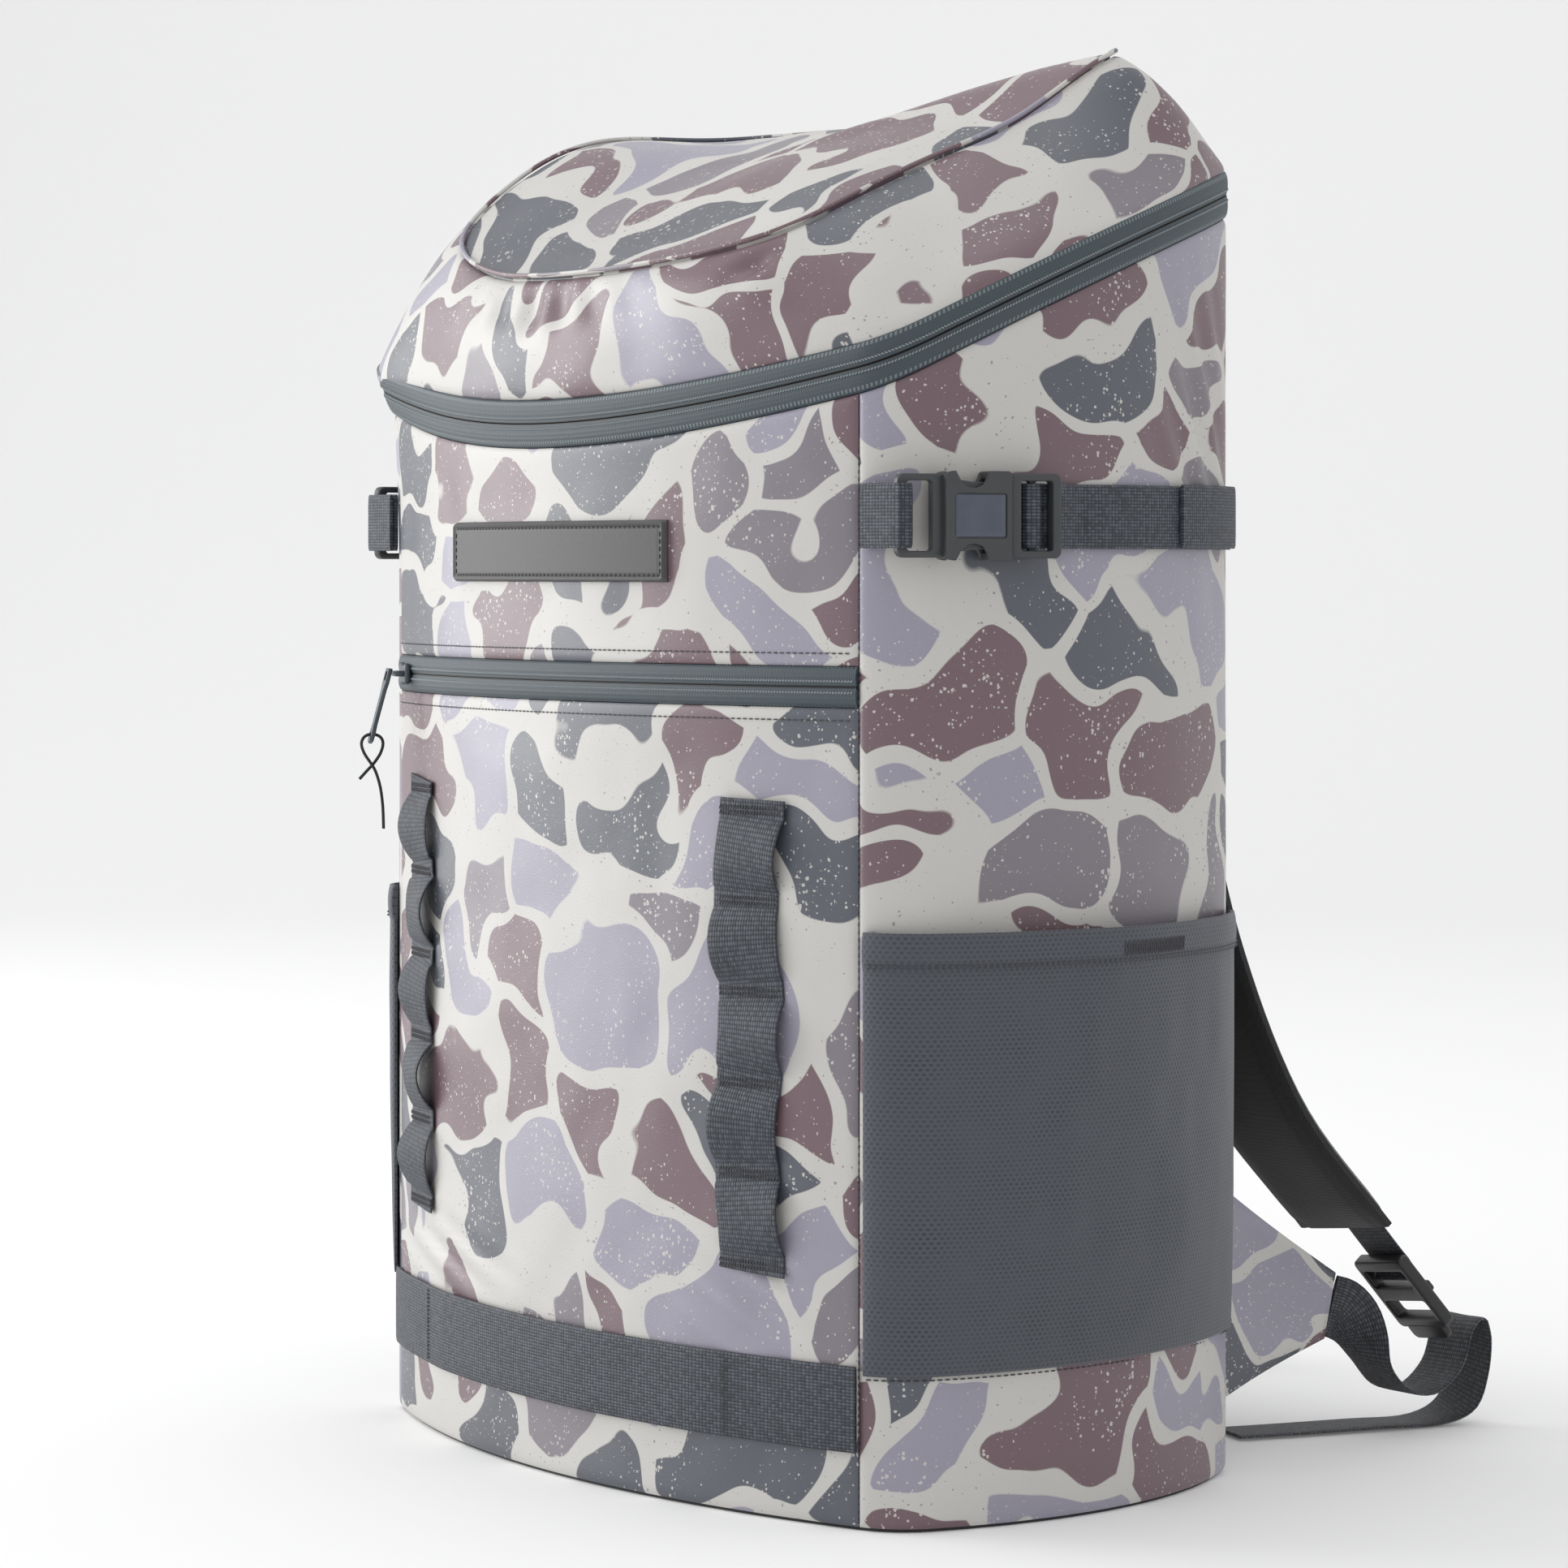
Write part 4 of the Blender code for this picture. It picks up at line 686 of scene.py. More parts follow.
def way_along(path):
    """The way walked to each point of a path."""
    return np.concatenate([[0], np.cumsum(np.linalg.norm(np.diff(path, axis=0), axis=1))])


def net(along, across):
    """A grid of number pairs."""
    return np.stack(np.meshgrid(along, across, indexing="ij"), -1)


def tube(name, path, radius, look):
    """A ring of round cloth cord: circles across a closed path, level with it and upright."""
    ahead = unit(np.roll(path, -1, 0) - np.roll(path, 1, 0))
    side = unit(np.cross(ahead, (0, 0, 1)))
    up = np.cross(side, ahead)
    sides = 8
    angle = np.linspace(0, 2 * math.pi, sides, endpoint=False)
    points = path[:, None] + radius * (
        side[:, None] * np.cos(angle)[None, :, None] + up[:, None] * np.sin(angle)[None, :, None]
    )
    n = len(path)
    i, j = np.meshgrid(np.arange(n), np.arange(sides), indexing="ij")
    a, b = i * sides + j, (i + 1) % n * sides + j
    c, d = (i + 1) % n * sides + (j + 1) % sides, i * sides + (j + 1) % sides
    uv = net(way_along(path), angle * radius)
    return mesh_piece(name, points, np.stack([a, b, c, d], -1).reshape(-1, 4), uv, look)


rim = seam_plan(around)
welt_path = np.c_[rim, seam_height(rim[:, 1]) + shoulder(rim[:, 0], rim[:, 1]) + 0.0004]
settle(tube("lid_welt_cloth", welt_path, 0.0010, TOP_CLOTH), "lid", "camo_fabric", "lid_welt")

# Webbing: flat woven polyester straps with a ribbed face. The front has a base strap and two
# ladders of loops, and a long strap runs round each side to its buckle.


def webbing_look(name, dark, light):
    """Woven webbing: small cushions in straight ribs, each with its own chance of a pale fleck, and
    painted shade in the grooves between them.
    """
    look, tree, shader, place = nodes_of(name, "UV")
    along, across = parts_of(tree, "XYZ", place)[:2]
    u = sums(tree, "DIVIDE", along, 0.0018)
    v = sums(tree, "DIVIDE", across, 0.0012)
    cushion = sums(tree, "MULTIPLY", sums(tree, "POWER", arch(tree, u), 0.7), arch(tree, v))
    whole = {0: sums(tree, "FLOOR", u), 1: sums(tree, "FLOOR", v)}
    cell = {"Vector": add(tree, "ShaderNodeCombineXYZ", whole)}
    luck = add(tree, "ShaderNodeTexWhiteNoise", cell, "Value", noise_dimensions="2D")
    # The cushion's rise sets the tone: the grooves between cushions are painted dark as painted shade,
    # and each cushion's luck gives its own pale fleck.
    groove_shade_and_fleck = sums(tree, "MULTIPLY", cushion, sums(tree, "MULTIPLY_ADD", luck, 0.8, 0.35))
    finish(tree, shader, tinted(tree, groove_shade_and_fleck, dark, light), 0.6, cushion, 0.6, 0.0004)
    return look


# The first colour is the painted shade in the grooves, the second the palest cushion.
SLATE = webbing_look("slate_webbing", (0.009, 0.012, 0.017), (0.098, 0.112, 0.140))


def path_frame(path, across):
    """Unit ways along a path, across it and out of its face, at each of its points."""
    ahead = unit(np.gradient(path, axis=0))
    across = np.broadcast_to(np.asarray(across, float), path.shape)
    across = unit(across - ahead * (across * ahead).sum(1)[:, None])
    return ahead, across, np.cross(ahead, across)


def strap(name, path, across, width, look=SLATE, thick=0.0015, start=0.0):
    """A flat strap: at each point of its path stands a row across it, and the face turns with
    the path. Its edges are rounded by easing the thickness over the outer millimetre."""
    across, face = path_frame(path, across)[1:]
    v = np.array([-1, -0.96, -0.88, -0.6, -0.3, 0, 0.3, 0.6, 0.88, 0.96, 1]) * width / 2
    ease = np.sqrt(np.clip(1 - (np.abs(v) / (width / 2)) ** 12, 0.12, 1)) * thick / 2
    row = path[:, None] + across[:, None] * v[None, :, None]
    skins = [row + face[:, None] * ease[None, :, None] * k for k in (1, -1)]
    return shell(name, *skins, net(way_along(path) + start, v), look)


def thread_row(path, normal, pitch, length, width, slant=0.0):
    """A row of stitches on a path: each is a six-sided grain with pointed ends, laid along the
    path or turned by slant, and sunk a little. Returns points and quads."""
    run = way_along(path)
    at = np.arange(pitch / 2, run[-1], pitch)

    def read(rows, where):
        """Rows of three numbers, read at ways along the path."""
        return np.stack([np.interp(where, run, rows[:, k]) for k in range(3)], -1)

    centre = read(path, at)
    lift = unit(read(normal, at))
    ahead = read(path, at + pitch / 4) - centre
    ahead -= lift * (ahead * lift).sum(1)[:, None]
    ahead /= np.linalg.norm(ahead, axis=1)[:, None] + 1e-12
    side = np.cross(lift, ahead)
    turned = ahead * math.cos(slant) + side * math.sin(slant)
    side = np.cross(lift, turned)
    angle = np.arange(6) * math.pi / 3
    grain = [
        (along * length, math.cos(a) * width / 2 * girth, math.sin(a) * width * 0.35 * girth)
        for along, girth in ((-0.5, 0.25), (-0.3, 1.0), (0.3, 1.0), (0.5, 0.25))
        for a in angle
    ]
    grain = np.array(grain)
    points = centre[:, None] + (
        turned[:, None] * grain[None, :, :1]
        + side[:, None] * grain[None, :, 1:2]
        + lift[:, None] * grain[None, :, 2:]
    )
    quads = [
        (r * 6 + k, r * 6 + (k + 1) % 6, (r + 1) * 6 + (k + 1) % 6, (r + 1) * 6 + k)
        for r in range(3)
        for k in range(6)
    ]
    quads += [(3, 2, 1, 0), (5, 4, 3, 0), (18, 19, 20, 21), (18, 21, 22, 23)]
    faces = np.array(quads)[None] + (np.arange(len(at)) * 24)[:, None, None]
    return points.reshape(-1, 3), faces.reshape(-1, 4)


def thread_piece(name, rows, look):
    """Several rows of stitches as one piece."""
    points, faces, count = [], [], 0
    for some_points, some_faces in rows:
        points.append(some_points)
        faces.append(some_faces + count)
        count += len(some_points)
    points = np.concatenate(points)
    return mesh_piece(name, points, np.concatenate(faces), points[:, :2], look)


def thread_look(name, colour):
    """Sewing thread: a plain twisted colour with a soft shine."""
    look, tree, shader, place = nodes_of(name)
    tone = tinted(tree, noise(tree, place, 1800.0), [c * 0.6 for c in colour], colour)
    feed(tree, shader, {"Base Color": tone, "Roughness": 0.6})
    return look


DARK_THREAD = thread_look("dark_thread", (0.060, 0.058, 0.066))
GREY_THREAD = thread_look("grey_thread", (0.28, 0.31, 0.33))


def on_wall(s, z, out):
    """Points on the wall and their normals, from arc length, height and stand-off."""
    s, z, out = np.broadcast_arrays(*(np.asarray(value, float) for value in (s, z, out)))
    xy, normal = outline(s, out)
    return raised(xy, z), raised(normal, np.zeros_like(z))


def wall_row(s, z, out, stitch, slant=0.0):
    """A row of stitches on the wall. A stitch is its pitch, length and width."""
    return thread_row(*on_wall(s, z, out), *stitch, slant)


WIDE_WEBBING = 0.0315
line = np.linspace(-0.1708, 0.1708, 120)
base_path = on_wall(line, 0.0443, 0.0014 + 0.0006 * ripple(line, line * 0, 0.03, 50))[0]
piece = strap("base_strap", base_path, (0, 0, 1), WIDE_WEBBING, start=0.5)
settle(piece, "pack", "slate_webbing", "base_webbing")
LOOPS, TACK = 5, 0.007
LADDER_AT, LADDER_LOW, LADDER_HIGH = 0.1215, 0.0905, 0.2655
LOOP_PITCH = (LADDER_HIGH - LADDER_LOW - TACK) / LOOPS


def ladder(sign):
    """A ladder of loops: between tacks the strap stands off by a sine hump with a slack twist."""
    z = np.linspace(LADDER_LOW, LADDER_HIGH, 220)
    climb = z - LADDER_LOW
    share = np.clip((climb % LOOP_PITCH - TACK) / (LOOP_PITCH - TACK), 0, 1)
    share = np.where(z > LADDER_HIGH - TACK, 0, share)
    luck = np.random.default_rng(60 + sign).uniform(0.75, 1.1, LOOPS + 1)
    which = np.minimum(climb // LOOP_PITCH, LOOPS).astype(int)
    hump = np.sin(math.pi * share) ** 0.8 * luck[which]
    rise = 0.0012 + (0.0030 if sign > 0 else 0.0050) * hump
    sway = 0.0016 * np.sin(climb * 2 * math.pi / 0.085 + sign)
    path, normal = on_wall(sign * LADDER_AT + sway, z, rise)
    tangent = np.cross(normal, (0, 0, 1.0))
    twist = 0.10 * np.sin(math.pi * share) * np.where(which % 2, 1, -1)
    return path, tangent * sign + normal * twist[:, None]


for side, sign in SIDES:
    path, across = ladder(sign)
    piece = strap(f"{side}_loop_ladder", path, across, WIDE_WEBBING, start=0.9)
    settle(piece, "pack", "slate_webbing", f"daisy_chain_{side}")

# Bar tacks and topstitching of the walls: dark thread, sewn in rows a few millimetres from each
# seam. All the rows that stay with the bag are one piece, and each zip has its own grey rows.
TOPSTITCH, SEAM_STITCH = (0.0030, 0.0022, 0.00055), (0.0028, 0.0018, 0.0007)
BASE_TACK, LOOP_TACK = (0.0016, 0.0012, 0.0006), (0.0014, 0.0018, 0.0006)
COIL_STITCH, COIL_SIDE = (0.00135, 0.0013, 0.0006), 0.0021
line = np.linspace(-0.168, 0.168, 200)
rows = [wall_row(line, z, 0.0002, TOPSTITCH) for z in (0.2952, 0.3198)]
for sign in (1, -1):
    line = np.linspace(0.174, 0.380, 200) * sign
    rows.append(wall_row(line, 0.0555, 0.0002, TOPSTITCH))
    rows.append(wall_row(sign * FRONT_SEAM, np.linspace(0.004, 0.396, 240), -0.0010, SEAM_STITCH))
    for s in (0.1085, 0.1097):
        rows.append(wall_row(sign * s, np.linspace(0.0300, 0.0590, 30), 0.0024, BASE_TACK))
    line = np.linspace(-0.0145, 0.0145, 30) + sign * LADDER_AT
    for k in range(LOOPS + 1):
        for z in (0.0925, 0.0945):
            rows.append(wall_row(line, z + k * LOOP_PITCH, 0.0021, LOOP_TACK, 1.1))
settle(thread_piece("wall_stitches", rows, DARK_THREAD), "pack", "slate_webbing")
line = np.linspace(-0.383, 0.383, 500)
height = zip_line(outline(line)[0][:, 1]) - COIL_SIDE
rows = [wall_row(line, height, 0.0008 + flare(line) * 0.57, COIL_STITCH, 0.5)]
line = np.linspace(-0.169, 0.169, 300)
for way in (-COIL_SIDE, COIL_SIDE):
    rows.append(wall_row(line, POCKET_ZIP + way, 0.0008, COIL_STITCH, 0.5))
settle(thread_piece("zip_stitches", rows, GREY_THREAD), "pack", "zip_tape")
line = np.linspace(-0.395, 0.395, 500)
height = zip_line(outline(line)[0][:, 1]) + COIL_SIDE
rows = [wall_row(line, height, 0.0008 + flare(line) * 0.73, COIL_STITCH, -0.5)]
settle(thread_piece("lid_zip_stitches", rows, GREY_THREAD), "lid", "zip_tape")

# Front patch: a moulded soft rubber plate with a raised rim, sewn on round its edge. Its face is
# left blank.
PATCH_HALF, PATCH_LOW, PATCH_HIGH, PATCH_CORNER = 0.078, 0.3457, 0.3692, 0.0022
across = np.linspace(-PATCH_HALF, PATCH_HALF, 160)
height = np.linspace(PATCH_LOW, PATCH_HIGH, 48)
s, z = np.meshgrid(across, height, indexing="ij")
inside = [np.abs(s) - PATCH_HALF, np.abs(z - 0.35745) - 0.01175]
inside = np.stack(inside, -1) + PATCH_CORNER
outside = np.linalg.norm(np.maximum(inside, 0), axis=-1)
way = PATCH_CORNER - (outside + np.minimum(inside.max(-1), 0))
rim = 0.0007 * np.exp(-(((way - 0.0011) / 0.0006) ** 2))
plump = 0.0008 + 0.0012 * np.clip(way / 0.0006, 0, 1) ** 0.5 + rim
plump = plump - 0.0003 * np.exp(-(((way - 0.0026) / 0.0005) ** 2))
rubber, tree, shader, place = nodes_of("patch_rubber")
dust = noise(tree, place, 900.0, 3.0)
tone = tinted(tree, dust, (0.060, 0.058, 0.060), (0.085, 0.083, 0.086))
finish(tree, shader, tone, 0.55, dust, 0.15, 0.0003)
skins = [on_wall(s, z, out)[0] for out in (plump, 0.0003)]
piece = shell("front_patch_rubber", *skins, np.stack([s, z], -1), rubber)
settle(piece, "pack", "front_patch", "front_patch")
PATCH_STITCH = (0.0028, 0.0020, 0.0006)
line = np.linspace(-0.075, 0.075, 100)
rows = [wall_row(line, z, 0.0021, PATCH_STITCH) for z in (PATCH_LOW + 0.0027, PATCH_HIGH - 0.0027)]
z = np.linspace(0.3484, 0.3665, 20)
rows += [wall_row(s, z, 0.0021, PATCH_STITCH) for s in (-0.0753, 0.0753)]
settle(thread_piece("patch_stitches", rows, DARK_THREAD), "pack", "front_patch")

# Side pockets: stretch mesh, gathered into the side seams, with a turned hem along the open top.


def mesh_look():
    """Knitted mesh: eyelets in brick order between pale courses, over a slate ground, with painted
    shade in the eyelets.
    """
    look, tree, shader, place = nodes_of("slate_stretch_mesh", "UV")
    along, up = parts_of(tree, "XYZ", place)[:2]
    row = sums(tree, "DIVIDE", up, 0.0017)
    shift = sums(tree, "MULTIPLY", sums(tree, "MODULO", sums(tree, "FLOOR", row), 2.0), 0.5)
    column = sums(tree, "ADD", sums(tree, "DIVIDE", along, 0.0022), shift)
    eyelet = sums(tree, "MULTIPLY", arch(tree, row), arch(tree, column))
    hole = sums(tree, "GREATER_THAN", eyelet, 0.62)
    # Painted shade: the eyelets are darkened, more in some places than others, as shade seen through
    # the holes.
    painted_eyelet_shade = sums(tree, "MULTIPLY", hole, noise(tree, place, 60.0, 4.0))
    tone = tinted(tree, painted_eyelet_shade, (0.066, 0.073, 0.088), (0.016, 0.018, 0.023))
    finish(tree, shader, tone, 0.75, eyelet, 0.4, 0.0004, invert=True)
    feed(tree, shader, {"Sheen Weight": 0.2})
    return look


KNIT = mesh_look()
MESH_FIRST, MESH_LAST, MESH_FOOT, MESH_TOP = 0.1742, 0.3790, 0.0570, 0.2185


def pocket_skin(sign, u, v, depth, low, high):
    """The pocket's cloth: off the wall by about 10 mm times sin(pi u)^0.6, and below 56 mm over
    the foot also times the root of that share. It is flat at its seams, with soft folds."""
    u, v = np.broadcast_arrays(u, v)
    s = sign * (MESH_FIRST + (MESH_LAST - MESH_FIRST) * u)
    z = low + (high - low) * v
    climb = np.sqrt(np.clip((z - MESH_FOOT) / 0.056, 0, 1))
    swell = np.clip(np.sin(math.pi * u), 0, 1) ** 0.6
    fold = 0.0012 * ripple(s, z, 0.035, 70) + 0.0005 * ripple(s, z * 0.4, 0.010, 71)
    out = 0.0009 + (0.0098 + fold) * swell * climb + depth
    return on_wall(s, z, out)[0], np.stack([s, z], -1)


HEM_STITCH, TAG_STITCH = (0.0026, 0.0018, 0.0005), (0.0014, 0.0030, 0.0006)
HEM_HIGH, HEM_LAP = 0.014, 0.0002
HEM_FOOT = MESH_TOP - HEM_HIGH


def hem_row(sign, u, z, depth, stitch, slant=0.0):
    """A row of stitches on the hem, at a height and over a share of the pocket's width."""
    v = (z - HEM_FOOT + HEM_LAP) / (HEM_HIGH + HEM_LAP)
    path = pocket_skin(sign, u, v, depth, HEM_FOOT - HEM_LAP, MESH_TOP)[0]
    normal = on_wall(sign * (MESH_FIRST + (MESH_LAST - MESH_FIRST) * u), z, 0.0)[1]
    return thread_row(path, normal, *stitch, slant)


for side, sign in SIDES:
    u, v = np.meshgrid(graded(0.2, 0.003), graded(0.145, 0.003), indexing="ij")
    outer, uv = pocket_skin(sign, u, v, 0.0011, MESH_FOOT, HEM_FOOT)
    inner = pocket_skin(sign, u, v, 0.0, MESH_FOOT, HEM_FOOT)[0]
    piece = shell(f"{side}_mesh_cloth", outer, inner, uv, KNIT)
    settle(piece, "pack", "mesh_fabric", f"mesh_pocket_{side}")
    u, v = np.meshgrid(graded(0.2, 0.003), np.linspace(0, 1, 15), indexing="ij")
    plump = 0.0012 * np.sqrt(np.sin(math.pi * np.clip(v, 0.02, 0.98)))
    outer, uv = pocket_skin(sign, u, v, 0.0009 + plump, HEM_FOOT - HEM_LAP, MESH_TOP)
    inner = pocket_skin(sign, u, v, -0.0002, HEM_FOOT - HEM_LAP, MESH_TOP)[0]
    piece = shell(f"{side}_mesh_hem", outer, inner, uv, KNIT)
    settle(piece, "pack", "mesh_fabric", f"mesh_pocket_hem_{side}")
    u = np.linspace(0.01, 0.99, 200)
    rows = [hem_row(sign, u, HEM_FOOT + up, 0.0021, HEM_STITCH) for up in (0.0012, 0.0026)]
    u = np.linspace(0.48, 0.66, 40)
    rows += [hem_row(sign, u, HEM_FOOT + up, 0.0023, TAG_STITCH, 1.3) for up in (0.0050, 0.0075)]
    settle(thread_piece(f"{side}_hem_stitches", rows, DARK_THREAD), "pack", "mesh_fabric")

# Buckles: side-release buckles moulded in grey plastic. A ring takes the sewn loop, the socket is
# open at the rear and at both sides, and the clip's two prongs spring out in its side windows.


def rounded(x, y, radius, steps=5):
    """Corners of a rectangle from x[0] to x[1] and y[0] to y[1], each turned by a quarter round."""
    points = []
    corners = ((x[1], y[1], 0), (x[0], y[1], 1), (x[0], y[0], 2), (x[1], y[0], 3))
    for cx, cy, quarter in corners:
        mx = cx - radius if quarter in (0, 3) else cx + radius
        my = cy - radius if quarter in (0, 1) else cy + radius
        for k in range(steps + 1):
            angle = math.pi / 2 * (quarter + k / steps)
            points.append((mx + radius * math.cos(angle), my + radius * math.sin(angle)))
    return points


def plate(outlines, low, high, round_off, matrix):
    """A moulded plate as a bmesh: a flat outline with holes, given thickness and rounded edges,
    and put in place by the matrix. The outline lies in x and z, the thickness in y."""
    data = bpy.data.curves.new("plate", "CURVE")
    data.dimensions = "2D"
    data.fill_mode = "BOTH"
    data.extrude = (high - low) / 2 - round_off
    data.bevel_depth = round_off
    data.bevel_resolution = 2
    data.offset = -round_off
    for corners in outlines:
        spline = data.splines.new("POLY")
        spline.points.add(len(corners) - 1)
        flat = np.array([(x, y, 0, 1) for x, y in corners])
        spline.points.foreach_set("co", flat.ravel())
        spline.use_cyclic_u = True
    holder = bpy.data.objects.new("plate", data)
    scene.collection.objects.link(holder)
    bpy.context.view_layer.update()
    final = holder.evaluated_get(bpy.context.evaluated_depsgraph_get())
    made = bpy.data.meshes.new_from_object(final)
    bpy.data.objects.remove(holder)
    bpy.data.curves.remove(data)
    work = bmesh.new()
    work.from_mesh(made)
    bpy.data.meshes.remove(made)
    bmesh.ops.remove_doubles(work, verts=work.verts, dist=1e-6)
    lay = Matrix(((1, 0, 0, 0), (0, 0, 1, (low + high) / 2), (0, 1, 0, 0), (0, 0, 0, 1)))
    bmesh.ops.transform(work, matrix=matrix @ lay, verts=work.verts)
    bmesh.ops.recalc_face_normals(work, faces=work.faces)
    return work


def block(x, z, radius, low, high, round_off, matrix):
    """A plate in the outline of a rounded rectangle."""
    return plate([rounded(x, z, radius)], low, high, round_off, matrix)


def moulded(name, plates, look):
    """One piece from several moulded plates."""
    data = bpy.data.meshes.new(name)
    whole = bmesh.new()
    for part in plates:
        part_data = bpy.data.meshes.new("part")
        part.to_mesh(part_data)
        part.free()
        whole.from_mesh(part_data)
        bpy.data.meshes.remove(part_data)
    whole.to_mesh(data)
    whole.free()
    data.shade_smooth()
    data.set_sharp_from_angle(angle=0.6)
    data.materials.append(look)
    made = bpy.data.objects.new(name, data)
    scene.collection.objects.link(made)
    return made


def plastic_look(name, colour, roughness):
    """Moulded plastic: a fine spark-eroded grain and a slight unevenness of tone."""
    look, tree, shader, place = nodes_of(name)
    patchy = noise(tree, place, 120.0, 3.0)
    tone = tinted(tree, patchy, [c * 0.85 for c in colour], [c * 1.15 for c in colour])
    gloss = sums(tree, "MULTIPLY_ADD", patchy, 0.15, roughness - 0.07)
    finish(tree, shader, tone, gloss, noise(tree, place, 2600.0), 0.2, 0.0001)
    return look


GREY_PLASTIC = plastic_look("grey_plastic", (0.042, 0.045, 0.049), 0.40)
BADGE, tree, shader, place = nodes_of("badge_resin")
tone = tinted(tree, noise(tree, place, 140.0), (0.030, 0.038, 0.062), (0.055, 0.068, 0.105))
resin = {"Base Color": tone, "Roughness": 0.12, "Coat Weight": 0.6, "Coat Roughness": 0.03}
feed(tree, shader, resin)
STRAP_HEIGHT = 0.370
FACE, SOCKET_FACE = 0.00475, 0.00505


def wall_matrix(s, z, out):
    """A frame on the wall: x against s, y out of the wall, z up."""
    (x, y), (nx, ny) = outline(np.array(s), np.array(out))
    return Matrix(((ny, nx, 0, x), (-nx, ny, 0, y), (0, 0, 1, z), (0, 0, 0, 1)))


def buckle_matrix(sign):
    """The buckle's own frame: x rearward along the wall, y out of it, z up."""
    left = wall_matrix(-0.214, STRAP_HEIGHT, 0.0065)
    return left if sign < 0 else Matrix.Diagonal((-1, 1, 1, 1)) @ left


SOCKET_HALF = (
    (-0.0150, 0.0140),
    (-0.0140, 0.0158),
    (-0.0118, 0.01625),
    (-0.0108, 0.01625),
    (-0.0102, 0.0152),
    (-0.0085, 0.0122),
    (-0.0060, 0.0104),
    (-0.0025, 0.0101),
    (0.0005, 0.0112),
    (0.0022, 0.0140),
    (0.0027, 0.0157),
    (0.0036, 0.01625),
    (0.0105, 0.01625),
    (0.0118, 0.0155),
    (0.0120, 0.0145),
)
PRONG = (
    (-0.0098, 0.0080),
    (-0.0094, 0.0116),
    (-0.0072, 0.0130),
    (-0.0030, 0.0124),
    (0.0040, 0.0122),
    (0.0117, 0.0122),
    (0.0117, 0.0078),
    (0.0040, 0.0078),
    (-0.0060, 0.0075),
)
SLOT, CLIP = (-0.01275, 0.01275), (-0.0155, 0.0155)
for side, sign in SIDES:
    place = buckle_matrix(sign)
    ring = [
        rounded((-0.0330, -0.0120), (-0.01525, 0.01525), 0.0030),
        rounded((-0.0290, -0.0190), SLOT, 0.0012),
    ]
    socket = [*SOCKET_HALF, *((x, -z) for x, z in SOCKET_HALF[::-1])]
    recess = rounded((-0.0112, 0.0098), (-0.0082, 0.0082), 0.0012)
    parts = [
        plate(ring, -0.0020, 0.0020, 0.0007, place),
        plate([socket, recess], 0.0042, SOCKET_FACE, 0.00025, place),
        plate([socket], 0.0028, 0.0045, 0.0007, place),
        plate([socket], -FACE, -0.0028, 0.0009, place),
        block((-0.0150, -0.0106), (-0.0158, 0.0158), 0.0012, -0.0040, 0.0040, 0.0006, place),
        block((0.0030, 0.0119), (0.0131, 0.01625), 0.0008, -0.0045, 0.0045, 0.0007, place),
        block((0.0030, 0.0119), (-0.01625, -0.0131), 0.0008, -0.0045, 0.0045, 0.0007, place),
    ]
    piece = moulded(f"{side}_buckle_socket", parts, GREY_PLASTIC)
    settle(piece, "pack", "grey_plastic", f"buckle_socket_{side}")
    x = np.linspace(-0.0108, 0.0094, 40)
    x, z = np.meshgrid(x, np.linspace(-0.0078, 0.0078, 32), indexing="ij")
    inside = np.stack([np.abs(x + 0.0007) - 0.0089, np.abs(z) - 0.0066], -1)
    outside = np.linalg.norm(np.maximum(inside, 0), axis=-1)
    way = 0.0012 - outside - np.minimum(inside.max(-1), 0)
    dome = 0.0046 + 0.0008 * np.clip(way / 0.0022, 0, 1) ** 0.5
    turn = np.array(place)
    skins = [np.stack([x, y, z], -1) for y in (dome, np.full_like(dome, 0.0044))]
    skins = [skin @ turn[:3, :3].T + turn[:3, 3] for skin in skins]
    piece = shell(f"{side}_buckle_badge", *skins, np.stack([x, z], -1), BADGE)
    settle(piece, "pack", "buckle_badge", f"buckle_badge_{side}")

    body = rounded((0.0124, 0.0330), CLIP, 0.0026)
    slots = [rounded(x, SLOT, 0.0010) for x in ((0.0165, 0.0212), (0.0238, 0.0295))]
    parts = [
        plate([body, rounded((0.0165, 0.0295), SLOT, 0.0010)], -0.0013, 0.0035, 0.0008, place),
        plate([body, *slots], -0.0020, 0.0002, 0.0004, place),
        block((0.0124, 0.0168), CLIP, 0.0010, -0.0035, 0.0030, 0.0006, place),
        block((-0.0080, 0.0140), (-0.0040, 0.0040), 0.0015, -0.0020, 0.0020, 0.0006, place),
    ]
    piece = moulded(f"{side}_buckle_clip", parts, GREY_PLASTIC)
    settle(piece, f"buckle_clip_{side}", "grey_plastic", f"buckle_clip_{side}")
    for level, up in (("upper", 1), ("lower", -1)):
        parts = [plate([[(x, up * z) for x, z in PRONG]], -0.0022, 0.0022, 0.0006, place)]
        piece = moulded(f"{side}_{level}_prong", parts, GREY_PLASTIC)
        node = f"buckle_prong_{level}_{side}"
        settle(piece, node, "grey_plastic", node)

